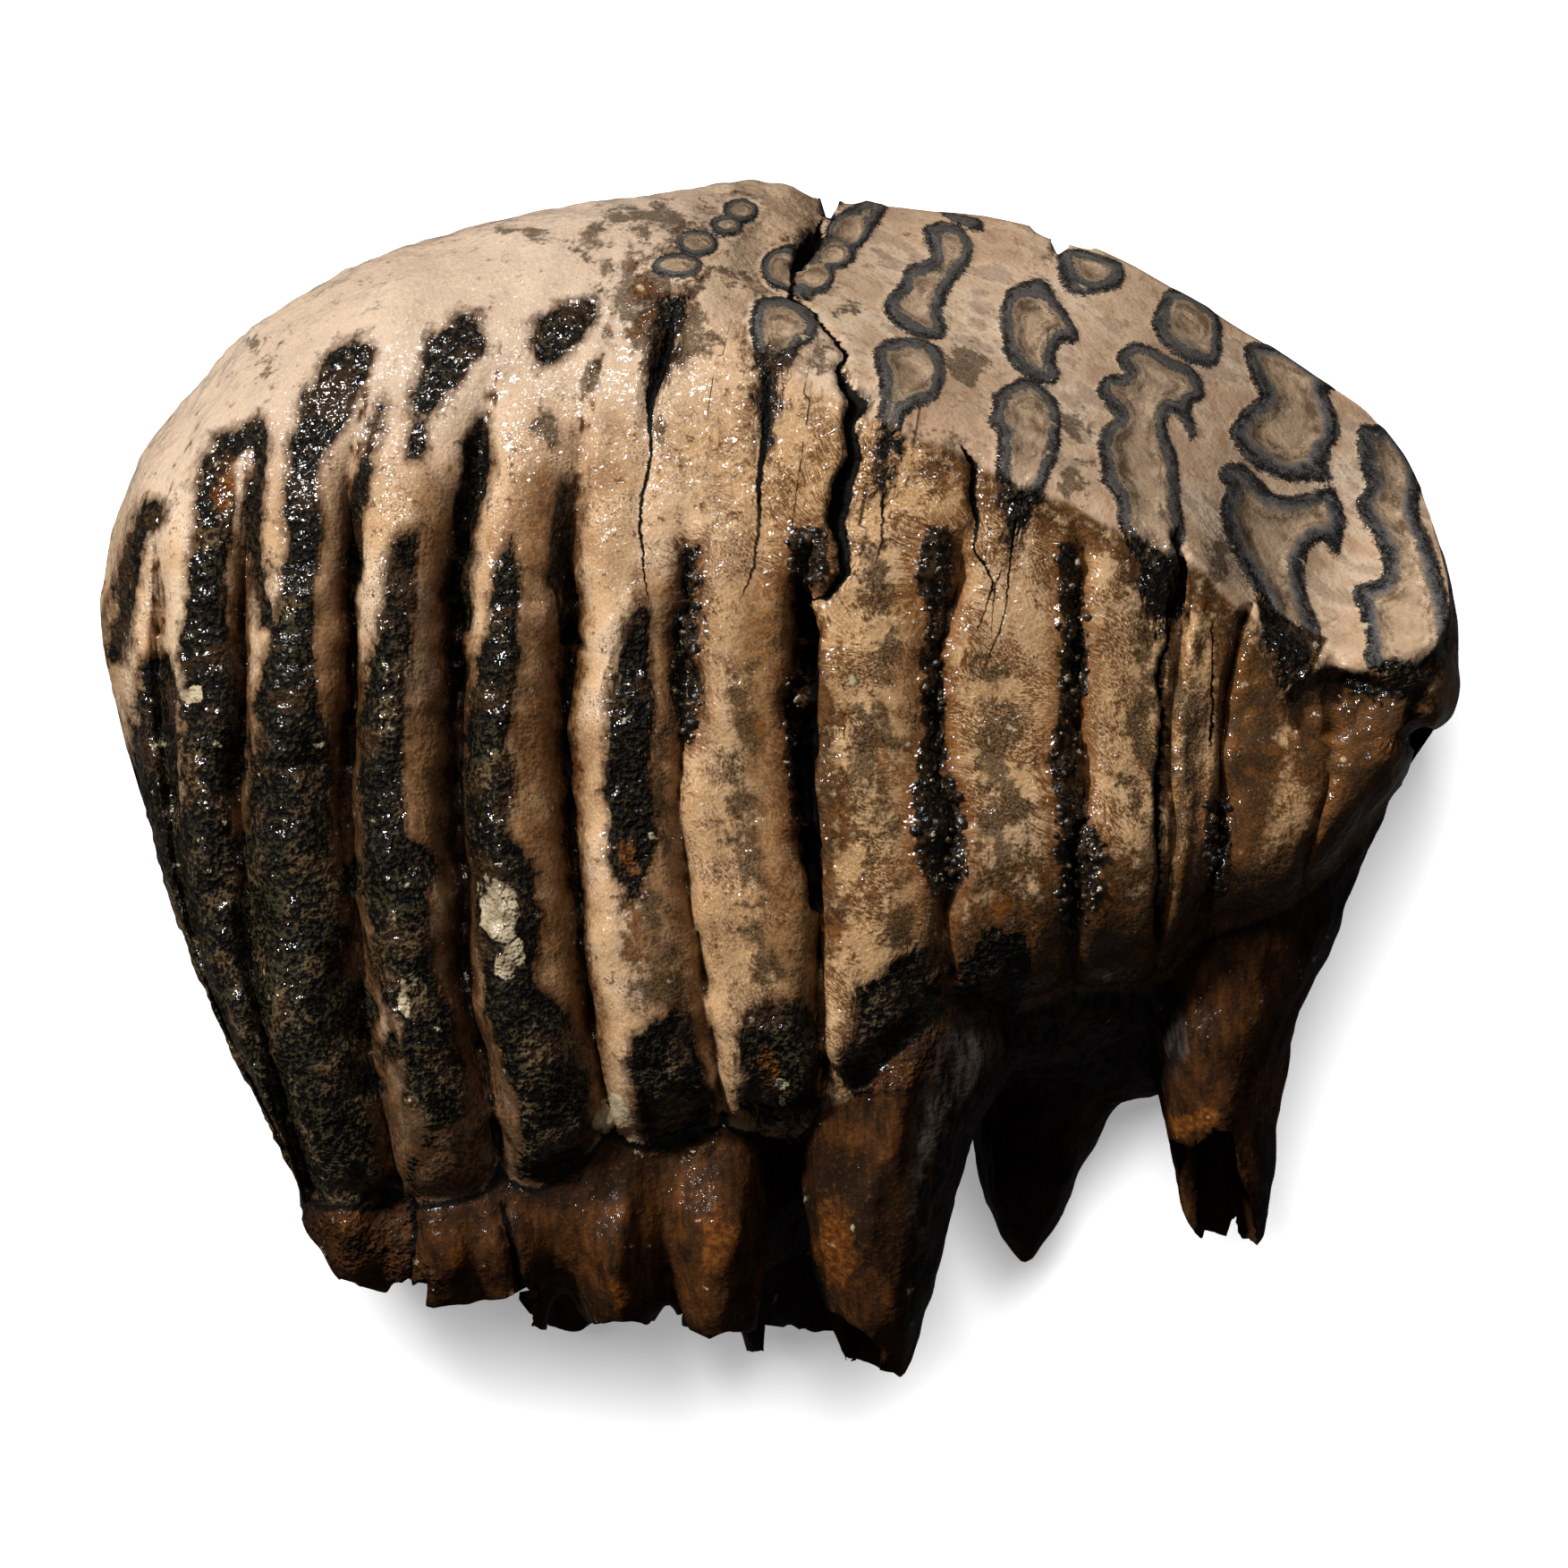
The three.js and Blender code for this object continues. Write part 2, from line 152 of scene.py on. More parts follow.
# Places in the photograph
# Enamel loops on the worn face, as outlines
ENAMEL_LOOPS = {
    "front plate": [
        (1502, 492), (1508, 481), (1525, 483), (1550, 480), (1560, 492), (1571, 508), (1581, 525),
        (1583, 554), (1592, 588), (1602, 613), (1610, 640), (1617, 667), (1623, 700), (1622, 725),
        (1612, 740), (1600, 754), (1583, 765), (1558, 760), (1538, 751), (1525, 738), (1529, 721),
        (1523, 700), (1521, 683), (1514, 670), (1517, 654), (1542, 650), (1548, 638), (1544, 617),
        (1533, 596), (1521, 579), (1519, 563), (1527, 552), (1517, 533), (1504, 508)],
    "second plate, lower": [
        (1364, 533), (1366, 522), (1378, 518), (1390, 519), (1399, 527), (1411, 542), (1426, 552),
        (1444, 555), (1463, 551), (1484, 547), (1494, 552), (1500, 567), (1504, 584), (1500, 600),
        (1496, 622), (1480, 605), (1467, 610), (1460, 621), (1458, 638), (1460, 658), (1467, 683),
        (1477, 708), (1471, 723), (1456, 742), (1444, 779), (1433, 750), (1421, 717), (1414, 692),
        (1408, 671), (1396, 650), (1381, 625), (1371, 600), (1364, 579), (1367, 558), (1373, 546)],
    "second plate, upper": [
        (1390, 410), (1394, 394), (1404, 388), (1421, 387), (1442, 391), (1455, 400), (1466, 411),
        (1482, 421), (1502, 427), (1513, 440), (1519, 451), (1506, 449), (1494, 443), (1482, 441),
        (1472, 447), (1476, 470), (1480, 492), (1476, 507), (1480, 524), (1487, 541), (1466, 537),
        (1442, 537), (1421, 531), (1400, 517), (1383, 500), (1377, 480), (1383, 467), (1397, 457),
        (1398, 447), (1392, 432)],
    "third plate": [
        (1250, 396), (1267, 383), (1288, 388), (1308, 400), (1329, 408), (1342, 425), (1344, 446),
        (1331, 452), (1335, 475), (1333, 493), (1321, 472), (1308, 459), (1304, 483), (1315, 508),
        (1317, 533), (1319, 567), (1324, 600), (1314, 640), (1296, 695), (1280, 640), (1264, 606),
        (1252, 588), (1248, 558), (1235, 542), (1231, 517), (1229, 492), (1239, 475), (1248, 466),
        (1234, 450), (1227, 434), (1238, 421), (1257, 417), (1249, 406)],
    "third plate, far end": [
        (1288, 346), (1304, 323), (1325, 325), (1350, 338), (1367, 354), (1365, 379), (1354, 408),
        (1329, 404), (1304, 388), (1289, 367)],
    "fourth plate, upper": [
        (1119, 368), (1118, 350), (1131, 325), (1154, 318), (1181, 321), (1199, 345), (1204, 367),
        (1201, 384), (1187, 383), (1179, 400), (1184, 421), (1175, 430), (1155, 425), (1138, 412),
        (1124, 395)],
    "fourth plate, near": [
        (1112, 441), (1127, 430), (1146, 424), (1165, 430), (1181, 449), (1185, 480), (1181, 511),
        (1169, 542), (1154, 566), (1140, 590), (1127, 607), (1119, 570), (1115, 526), (1117, 488),
        (1105, 472), (1111, 457)],
    "fourth plate, far end": [
        (1188, 288), (1200, 283), (1221, 285), (1250, 298), (1248, 321), (1235, 335), (1212, 337),
        (1198, 325), (1190, 308)],
    "fifth plate, upper": [
        (1023, 272), (1035, 265), (1054, 262), (1073, 268), (1085, 284), (1081, 299), (1067, 315),
        (1058, 334), (1052, 353), (1058, 369), (1050, 380), (1027, 378), (1004, 365), (988, 345),
        (996, 330), (1008, 315), (1013, 299), (1034, 295), (1031, 284)],
    "fifth plate, near": [
        (981, 388), (996, 380), (1019, 378), (1042, 384), (1054, 399), (1056, 422), (1046, 445), (1023, 457),
        (1008, 472), (1001, 507), (996, 538), (988, 556), (979, 534), (979, 495), (983, 457), (985, 426),
        (979, 407)],
    "fifth plate, far end": [
        (1052, 245), (1069, 247), (1096, 253), (1100, 268), (1085, 268), (1062, 257)],
    "sixth plate, chain": [
        (976, 229), (983, 240), (970, 258), (956, 275), (955, 290), (938, 298), (925, 318), (905, 336),
        (889, 331), (898, 308), (905, 285), (920, 268), (935, 250), (950, 234)],
    "sixth plate, left ring": [
        (856, 292), (865, 280), (884, 273), (897, 283), (899, 302), (886, 322), (868, 318)],
    "sixth plate, near": [
        (840, 357), (846, 338), (862, 332), (885, 334), (904, 345), (914, 361), (911, 377), (893, 392),
        (882, 408), (875, 430), (869, 457), (859, 488), (852, 502), (848, 480), (844, 449), (846, 411),
        (842, 380)],
}

# Small rings where a plate's pillars are worn through: (x, y, half width, half height)
PEARLS = [
    (828, 236, 19, 14), (812, 253, 18, 12), (779, 273, 23, 15), (757, 298, 27, 14), (946, 259, 21, 18),
    (932, 284, 21, 18), (909, 309, 23, 20), (876, 300, 24, 24),
]

# Where the cement is gone and the black enamel shows: rows of (y, left x, right x)
DARK_BANDS = [
    # first plate
    [(563, 168, 181), (580, 152, 181), (600, 146, 166), (625, 138, 156), (650, 129, 150), (690, 124, 147),
     (740, 124, 136)],
    [(733, 166, 184), (755, 158, 196), (790, 146, 198), (850, 146, 200), (900, 148, 201), (950, 165, 204),
     (1000, 188, 206), (1030, 200, 207)],
    # second plate
    [(478, 262, 284), (492, 238, 286), (515, 226, 262), (550, 219, 258), (600, 214, 257), (650, 211, 250),
     (700, 209, 250), (750, 204, 263), (800, 201, 276), (850, 200, 278), (900, 200, 260), (925, 200, 256),
     (950, 200, 276), (1000, 202, 281), (1040, 203, 286), (1100, 215, 291), (1150, 236, 304),
     (1200, 270, 326), (1250, 303, 338), (1300, 318, 341)],
    # third plate
    [(383, 397, 413), (394, 372, 414), (410, 361, 413), (430, 350, 408), (450, 340, 400), (470, 334, 386),
     (490, 329, 368), (510, 327, 353), (540, 324, 352), (570, 320, 358), (600, 322, 361), (640, 316, 354),
     (700, 303, 348), (750, 297, 350), (785, 286, 356), (830, 288, 366), (860, 274, 372), (900, 273, 372),
     (950, 276, 374), (1000, 277, 376), (1050, 284, 384), (1100, 288, 392), (1150, 300, 400),
     (1200, 318, 410), (1240, 334, 412), (1266, 344, 386)],
    # fourth plate
    [(352, 514, 536), (362, 498, 539), (380, 480, 538), (400, 471, 529), (420, 469, 514), (440, 464, 500),
     (456, 461, 488), (475, 456, 474), (500, 455, 478), (514, 458, 476)],
    [(592, 456, 464), (610, 444, 464), (650, 431, 462), (700, 424, 459), (750, 412, 454), (800, 403, 452),
     (850, 402, 450), (900, 402, 449), (932, 404, 454), (944, 405, 478), (965, 406, 491), (990, 410, 480),
     (1040, 414, 476), (1080, 424, 484), (1097, 436, 490), (1112, 458, 498), (1140, 448, 506),
     (1200, 450, 524), (1235, 462, 520), (1256, 484, 512)],
    # fifth plate
    [(334, 641, 666), (345, 614, 669), (360, 600, 661), (380, 597, 648), (395, 594, 630), (408, 600, 618)],
    [(598, 569, 575), (620, 562, 578), (650, 554, 580), (700, 545, 578), (750, 532, 579), (800, 520, 571),
     (830, 517, 569), (860, 518, 574), (900, 518, 567), (930, 518, 566), (955, 520, 588), (990, 528, 602),
     (1040, 533, 604), (1080, 538, 596), (1100, 541, 596), (1140, 544, 640), (1180, 560, 652),
     (1230, 576, 656), (1290, 584, 652), (1316, 578, 650)],
    # sixth plate
    [(676, 717, 725), (700, 702, 724), (750, 689, 724), (800, 681, 728), (850, 679, 726), (900, 680, 730),
     (950, 683, 732), (980, 690, 724), (1010, 704, 714)],
    [(1130, 752, 772), (1160, 706, 784), (1190, 703, 790), (1230, 708, 800), (1270, 722, 800),
     (1292, 738, 788)],
    # seventh plate
    [(1124, 850, 900), (1140, 836, 918), (1165, 828, 922), (1200, 834, 922), (1235, 832, 918),
     (1256, 850, 908)],
    # eighth plate
    [(1055, 1030, 1036), (1085, 985, 1044), (1110, 962, 1048), (1150, 956, 1048), (1190, 944, 1042),
     (1222, 956, 1010)],
    # ninth plate
    [(1040, 1104, 1140), (1080, 1070, 1150), (1110, 1066, 1150), (1130, 1070, 1130)],
    # tenth and eleventh plates, under their loops
    [(590, 1258, 1322), (630, 1270, 1322), (660, 1276, 1320), (690, 1288, 1316), (712, 1290, 1304)],
    [(630, 1392, 1408), (660, 1402, 1424), (690, 1408, 1480), (725, 1418, 1478), (755, 1428, 1464),
     (785, 1437, 1450)],
    # under the eighth and ninth plates' loops
    [(540, 1116, 1172), (570, 1118, 1156), (600, 1122, 1138), (625, 1125, 1130)],
    [(400, 846, 884), (440, 846, 872), (480, 850, 862), (505, 850, 856)],
    # in the grooves
    [(470, 290, 297), (520, 282, 296), (560, 277, 292), (610, 275, 289), (650, 280, 294), (700, 290, 300)],
    [(450, 419, 428), (490, 411, 421), (530, 402, 414), (570, 392, 409), (610, 388, 408), (650, 394, 410)],
    [(468, 536, 546), (500, 521, 545), (550, 515, 540), (600, 508, 525), (650, 501, 522), (705, 506, 520)],
    [(540, 632, 637), (590, 622, 640), (640, 613, 643), (690, 624, 645), (720, 630, 646)],
    [(612, 765, 783), (640, 763, 780), (660, 766, 778), (700, 752, 778), (760, 750, 780), (800, 752, 776)],
    # along the worn face's front rim
    [(742, 1468, 1482), (752, 1474, 1504), (760, 1482, 1544), (770, 1502, 1586), (780, 1544, 1594)],
    [(742, 1596, 1612), (762, 1588, 1600), (782, 1582, 1594), (832, 1578, 1588)],
    # soft black patch beside the eighth loop's neck
    [(330, 738, 770), (350, 730, 768), (372, 727, 762), (400, 724, 750), (432, 722, 738)],
]

# The black tongue that hangs from the second plate, below the rim of the worn face: rows as above
TONGUE = [(664, 1402, 1408), (690, 1408, 1434), (712, 1414, 1484), (755, 1426, 1468), (790, 1437, 1452)]

# Where the cement is darkened but still there: rows as above
SMOKY_BANDS = [
    [(228, 692, 760), (246, 655, 800), (275, 640, 770), (305, 660, 790), (350, 690, 800), (390, 700, 790),
     (415, 716, 760)],
    [(740, 815, 850), (800, 812, 852), (860, 810, 850), (920, 812, 852), (980, 822, 862), (1040, 830, 880),
     (1100, 840, 900)],
    [(600, 958, 990), (660, 955, 995), (720, 958, 1005), (790, 945, 1010), (850, 945, 1008),
     (910, 950, 1010), (980, 965, 1020), (1060, 975, 1030)],
    [(740, 1090, 1130), (800, 1095, 1150), (870, 1090, 1155), (940, 1095, 1160), (1000, 1105, 1165),
     (1050, 1095, 1160)],
    [(620, 1262, 1300), (700, 1268, 1310), (800, 1256, 1298), (860, 1248, 1296), (920, 1252, 1296),
     (990, 1262, 1300)],
    [(640, 1330, 1352), (700, 1318, 1348), (800, 1308, 1340), (900, 1308, 1335), (1000, 1303, 1330)],
    [(380, 885, 915), (405, 900, 946), (425, 912, 950)],
    [(480, 1030, 1062), (505, 1010, 1078), (530, 1000, 1060), (560, 1010, 1040)],
    [(1000, 690, 745), (1060, 695, 750), (1130, 705, 780)],
    [(735, 706, 724), (860, 716, 742), (960, 716, 748)],
]

# Where it is brown and shiny, most of all on the front plate's side: rows as above
BROWN_BANDS = [
    [(735, 1474, 1490), (758, 1450, 1560), (790, 1440, 1618), (820, 1440, 1606), (860, 1450, 1590),
     (900, 1460, 1560), (930, 1470, 1530)],
    [(700, 1366, 1392), (760, 1362, 1440), (850, 1362, 1436), (950, 1365, 1410), (1010, 1368, 1392)],
    [(690, 905, 922), (800, 905, 936), (900, 908, 946), (1000, 916, 946), (1090, 926, 940)],
    [(860, 1545, 1590), (900, 1496, 1580), (1000, 1480, 1560), (1100, 1460, 1520), (1260, 1430, 1490)],
    [(300, 706, 730), (340, 712, 744), (370, 706, 720)],
]

# The broken wall under the worn face's front end: rows as above
BROKEN_WALL = [
    (752, 1478, 1500), (766, 1452, 1600), (790, 1440, 1606), (815, 1448, 1600), (838, 1490, 1584),
]

# Grains and small stones caught in the grooves: rows as above
GRIT_BANDS = [
    [(612, 766, 782), (640, 764, 780), (700, 754, 778), (760, 752, 780), (830, 756, 778)],
    [(590, 886, 922), (610, 880, 926), (640, 882, 924), (655, 884, 916)],
    [(588, 1040, 1056), (610, 1028, 1066), (650, 1024, 1066), (690, 1036, 1062), (760, 1030, 1056),
     (820, 1034, 1056), (860, 1024, 1062), (900, 1022, 1076), (940, 1022, 1082), (980, 1032, 1078),
     (1000, 1044, 1066)],
    [(608, 1182, 1202), (650, 1184, 1208), (700, 1186, 1216), (760, 1184, 1218), (800, 1184, 1206),
     (860, 1172, 1208), (900, 1182, 1210), (950, 1180, 1232), (1000, 1184, 1228), (1040, 1190, 1210)],
    [(895, 1350, 1372), (930, 1346, 1376), (970, 1348, 1372), (1000, 1352, 1366)],
    [(760, 880, 892), (860, 880, 890), (930, 884, 892)],
    [(600, 1055, 1060), (640, 1050, 1062)],
]

# Open cracks: points of (x, y, width in pixels)
CRACKS = [
    [(753, 345, 4), (746, 384, 13), (733, 418, 15), (725, 445, 10), (727, 488, 4), (725, 518, 4),
     (717, 549, 5), (715, 588, 4), (719, 622, 3), (723, 665, 2)],
    [(858, 420, 12), (853, 480, 10), (850, 526, 7), (847, 584, 5), (844, 634, 3), (831, 665, 2)],
    [(934, 226, 6), (926, 238, 18), (914, 258, 24), (900, 284, 16), (893, 294, 8), (883, 331, 4),
     (908, 345, 4), (948, 395, 5), (938, 407, 6), (946, 430, 14), (962, 449, 19), (949, 472, 14),
     (956, 507, 18), (942, 545, 25), (935, 584, 22), (943, 607, 15), (944, 641, 14), (927, 665, 10),
     (915, 667, 7)],
    [(1184, 270, 4), (1178, 300, 16), (1176, 318, 10)],
    [(988, 556, 4), (987, 595, 3), (981, 624, 2)],
    [(1073, 498, 3), (1091, 518, 8), (1087, 549, 8), (1092, 588, 6), (1088, 611, 3), (1104, 634, 3),
     (1110, 653, 3), (1102, 682, 2), (1094, 700, 2)],
    [(1134, 584, 4), (1129, 634, 3), (1123, 688, 2), (1108, 734, 2)],
    [(1316, 598, 8), (1323, 625, 8), (1321, 650, 7), (1314, 692, 6), (1308, 725, 6), (1300, 758, 8),
     (1304, 792, 8), (1300, 830, 8), (1299, 900, 9), (1298, 980, 7), (1296, 1050, 5)],
    [(1358, 700, 2), (1356, 760, 3), (1352, 830, 3)],
    [(895, 662, 7), (902, 720, 12), (903, 780, 16), (900, 850, 20), (905, 930, 18), (912, 1010, 12)],
    [(455, 1340, 9), (457, 1390, 9), (455, 1440, 7)],
    [(562, 1350, 6), (575, 1390, 8), (578, 1425, 10), (597, 1460, 8)],
]

# The dark grey, fibrous skin of the front flange and of the arched underside between the roots: rows as
# above. Between the roots the grey is also painted paler, as painted light where it lies in shade.
ASHEN_FLANGE = [
    (880, 1520, 1580), (960, 1490, 1570), (1040, 1466, 1550), (1160, 1446, 1520), (1270, 1440, 1490),
]
ASHEN_ARCH_AND_PAINTED_LIGHT = [
    (1085, 1170, 1300), (1120, 1090, 1320), (1160, 1050, 1330), (1210, 1032, 1310), (1270, 1020, 1240),
    (1340, 1020, 1120), (1420, 1015, 1085), (1500, 1020, 1070),
]

# Round spots: (x, y, half width, half height)
AMBER_SPOTS = [
    (708, 1045, 16, 48), (985, 850, 10, 28), (852, 815, 12, 16), (859, 1190, 12, 34), (980, 1000, 8, 30),
    (247, 540, 14, 40), (1116, 1010, 12, 26), (1062, 840, 8, 30),
    (700, 960, 8, 26), (520, 1322, 8, 6), (690, 1446, 16, 30), (515, 1405, 18, 14),
    (800, 1390, 20, 50), (930, 1390, 24, 60), (1425, 1225, 30, 40), (1335, 1258, 44, 14),
    (1398, 1300, 12, 44), (1622, 770, 16, 60), (1040, 1318, 14, 8),
]
PALE_SPOTS = [
    (556, 1016, 24, 40), (568, 1072, 20, 26), (454, 1114, 10, 26), (213, 778, 9, 14),
    (685, 1245, 26, 24), (872, 1222, 7, 20),
]
MOTTLED_SPOTS = [
    (310, 1020, 34, 46), (448, 1010, 26, 44), (325, 1090, 26, 36), (366, 1300, 34, 50), (500, 1310, 44, 40),
    (612, 1290, 34, 44), (340, 1150, 26, 36), (222, 850, 22, 40), (470, 1120, 20, 40), (590, 1180, 30, 30),
    (230, 620, 16, 50), (322, 700, 20, 60), (430, 780, 20, 60), (545, 850, 24, 50), (745, 1230, 44, 60),
    (875, 1190, 44, 60), (1000, 1150, 50, 60), (1110, 1100, 44, 40),
]
SMOKY_SPOTS = [
    (815, 311, 26, 20), (996, 271, 13, 12), (950, 347, 22, 14), (1205, 475, 20, 24), (1208, 538, 20, 28),
    (1362, 622, 20, 32), (1082, 407, 30, 24), (610, 472, 14, 36), (742, 478, 10, 14),
    (290, 392, 20, 22), (750, 240, 40, 8), (1182, 283, 12, 20), (590, 262, 40, 10), (660, 430, 14, 30),
]
# Where the varnish lies smooth and shines in sheets: spots as above
GLAZED_SPOTS = [(568, 446, 30, 56), (704, 412, 32, 70), (776, 446, 22, 36), (292, 432, 20, 30)]
# Where it lies thick and lumpy: spots as above
SOAKED_SPOTS = [
    (860, 440, 22, 50), (430, 470, 14, 60), (640, 540, 60, 50), (950, 430, 24, 50), (1130, 640, 34, 80),
    (1450, 735, 40, 60), (1290, 640, 34, 80), (1530, 780, 60, 22), (1340, 400, 20, 30), (1315, 400, 60, 24),
    (915, 650, 30, 60),
]

# The grains, in mm
GRAIN_DOUBLINGS = 9
GRAIN_SIZE = 0.26

# How finely the piece is drawn
ROOT_GRAIN = 0.75  # mm
COLUMNS_PER_PLATE = 20
CROWN_ROWS = 320
UPPER_SIDE_SHARE = 2.2
LINE_STEPS = 160

# Beyond this many mm an outline or a crack is out of mind
FAR = 4.0
# How far the finished skin may stand out of the solid's box: x, y and up
SPARE = (0.6, 0.6, 0.4)
# In mm: a plate's thickness, the crown's height, and how far below its middle the
# underside's own pattern has taken over
PLATE_THICKNESS, CROWN_HEIGHT, TURN_UNDER = 9.2, 80.0, 9.0
# Where finishes change, in mm from the back or up from the foot: the cement turns brown and
# hairy, it turns pale, and the worn face's enamel loops turn from grey to black
WOOLLY, CREST, BLACK_LOOPS = (44, 68), (54, 70), (92, 96)


def smooth(v, low, high):
    v = np.clip((v - low) / (high - low), 0, 1)
    return v * v * (3 - 2 * v)


def mix(a, b, f):
    return a + (b - a) * f


def through(a, b, c, d, f):
    """From b to c, on a smooth curve through all four."""
    return b + 0.5 * f * (c - a + f * (2 * a - 5 * b + 4 * c - d + f * (3 * (b - c) + d - a)))


def wander(u, v, seed):
    """Smooth random waves over u and v, of one unit each, between -1 and 1."""
    table = np.random.default_rng(seed).uniform(-1, 1, (64, 64))
    i, j = np.floor(u).astype(int), np.floor(v).astype(int)
    f, g = smooth(u - i, 0, 1), smooth(v - j, 0, 1)

    def corner(a, b):
        return table[(i + a) % len(table), (j + b) % len(table)]

    return mix(mix(corner(0, 0), corner(1, 0), f), mix(corner(0, 1), corner(1, 1), f), g)


# The crown
def lines_at(t):
    """The groove-wise line at each place t as points in plan, with its length up to each."""
    i = np.minimum(t.astype(int), PLATES - 1)
    near = [GROOVES[np.clip(i + k, 0, PLATES)] for k in (-1, 0, 1, 2)]
    points = through(*near, (t - i)[:, None, None])
    ends = 2 * points[:, [0, -1]] - points[:, [1, -2]]
    points = np.concatenate([ends[:, :1], points, ends[:, 1:]], axis=1)
    along = np.linspace(0, 4, LINE_STEPS + 1)
    k = np.minimum(along.astype(int), 3)
    line = through(*(points[:, k + n] for n in range(4)), (along - k)[None, :, None])
    steps = np.linalg.norm(np.diff(line, axis=1), axis=2)
    return line, np.concatenate([np.zeros((len(t), 1)), np.cumsum(steps, axis=1)], axis=1)


def crown_at(t, angle):
    """The crown's surface over places t and angles round it, and what is known of each point:
    t, height share, groove share, how far past the worn face it was, painted shade on the flank, and seam."""
    line, length = lines_at(t)
    whole = length[:, -1:]
    rim = length[:, LINE_STEPS * 3 // 4, None]
    t = t[:, None] + 0 * angle[None, :]
    up, side = np.cos(angle)[None, :], np.sin(angle)[None, :]
    back = (1 - (1 - np.minimum(t / BACK_ROUND, 1)) ** 2) ** 0.62
    front = np.sqrt(1 - np.maximum(t - PLATES + 1, 0) ** 5)
    broad = WIDTH - FRONT_TAPER * smooth(t, 7, PLATES)
    width = broad * back * front

    # The section across a plate, a different oval above and below its thickest place
    middle = THICKEST * whole
    worn = smooth(t, 4.8, 8.2)
    reach = middle * np.where(side > 0, 1.03, 1.0)
    reach = np.where(up > 0, (whole - middle) * mix(1.02, 1.4, worn), reach)
    power = np.where(up > 0, mix(2.3, 2.7, worn), np.where(side > 0, 5.0, 3.6))
    s = middle + reach * np.sign(up) * np.abs(up) ** (2 / power)
    z = width / 2 * np.sign(side) * np.abs(side) ** (2 / power)

    # The grooves between the plates, wandering a little and cut in towards the middle
    h = s / whole
    upper = side > 0
    stray = 0.07 * wander(s / 9, t * 1.7, 1) + 0.035 * wander(s / 3, t * 3, 2)
    wavy = np.clip(t + stray * smooth(h, 0.02, 0.2), 0, PLATES)
    i = np.minimum(wavy.astype(int), PLATES - 1)
    f = wavy - i
    depths = [mix(row[i], row[i + 1], f) for row in (UPPER_DEPTH, LOWER_DEPTH)]
    depth = np.where(upper, *depths)
    forward = smooth(t, 4.3, 5.8)
    end = np.where(upper, mix(0.86, 0.66, forward), 0.9)
    fade = np.where(upper, mix(0.26, 0.12, forward), 0.26)
    depth = depth * (1 - smooth(h, end - fade, end)) * mix(0.55, 1, smooth(h, 0, 0.12))
    crest = mix(0.36, 0.5, smooth(t, 6, 9))
    across = np.where(f < crest, (crest - f) / crest, (f - crest) / (1 - crest))
    groove = 1 - np.sqrt(np.maximum(1 - across ** mix(2, 6, smooth(t, 5.2, 6.6)), 0))
    out_s = (s - middle) / reach**2
    out_z = z / np.maximum(width**2 / 4, 1e-6)
    out = np.maximum(np.hypot(out_s, out_z), 1e-9)
    bite = np.minimum(depth * groove, DEEPEST * width * np.abs(side))
    s = s - bite * out_s / out
    z = z - bite * out_z / out

    # The worn face, a slanting plane with a soft edge
    rim_z = RIM_SHARE * broad / 2
    tilt = np.arctan2(whole - rim, rim_z - WORN_FOOT)
    lift = BACK_LIFT * (1 - smooth(t, 3.5, 7.5))
    soft = mix(3.2, 0.6, smooth(t, 7.5, 11))
    past = (s - rim) * np.cos(tilt) + (z - rim_z) * np.sin(tilt) - lift
    cut = soft * np.logaddexp(0, past / soft)
    s = s - cut * np.cos(tilt)
    z = z - cut * np.sin(tilt)

    # Places in plan, and what is known of them
    plan = np.empty(s.shape + (2,))
    for n in range(len(line)):
        over = s[n] - np.clip(s[n], 0, length[n, -1])
        for axis in (0, 1):
            ends = [line[n, 1, axis] - line[n, 0, axis], line[n, -1, axis] - line[n, -2, axis]]
            steps = [length[n, 1], length[n, -1] - length[n, -2]]
            slope = np.where(over < 0, ends[0] / steps[0], ends[1] / steps[1])
            plan[n, :, axis] = np.interp(s[n], length[n], line[n, :, axis]) + over * slope
    points = np.dstack([plan - PLAN_CENTRE, np.maximum(MID_HEIGHT + z, 0)])
    # Painted shade on the flanks: darker past each plate's crest towards a deep groove, and on the front
    # plates towards both grooves
    flank_shade = smooth(f, crest - 0.05, crest + 0.3) * smooth(depth, 1.5, 5)
    flank_shade = np.maximum(flank_shade, 0.8 * smooth(np.abs(f - 0.5), 0.25, 0.5) * smooth(t, 6, 8))
    seam = smooth(0.1 - np.minimum(f, 1 - f), 0, 0.06) * upper
    seam = seam * smooth(h, 0.5, 0.7) * (1 - smooth(h, 0.82, 0.93))
    known = np.dstack([t, s / whole, groove * depth / UPPER_DEPTH.max(), past, flank_shade, seam])
    return points, known


def crown_rows():
    """Angles that put the rows at even steps, and closer together on the upper side."""
    close = np.geomspace(1e-9, 1e-3, 300)
    turns = [np.linspace(0, 2 * np.pi, 4000)]
    turns += [corner + way * close for corner in np.pi / 2 * np.arange(5) for way in (-1, 1)]
    angle = np.unique(np.clip(np.concatenate(turns), 0, 2 * np.pi))
    points, _ = crown_at(np.array([7.5]), angle)
    step = np.linalg.norm(np.diff(points[0], axis=0), axis=1)
    step *= np.where(angle[:-1] < np.pi, UPPER_SIDE_SHARE, 1)
    run = np.concatenate([[0], np.cumsum(step)])
    return np.interp(np.linspace(0, run[-1], CROWN_ROWS + 1), run, angle)


def crown_columns():
    u = np.arange(PLATES * COLUMNS_PER_PLATE + 1) / COLUMNS_PER_PLATE
    plate = np.minimum(np.floor(u + 1e-9), PLATES - 1)
    f = 2 * (u - plate) - 1
    return np.minimum(plate + 0.5 + 0.5 * np.sign(f) * np.abs(f) ** 0.8, PLATES)


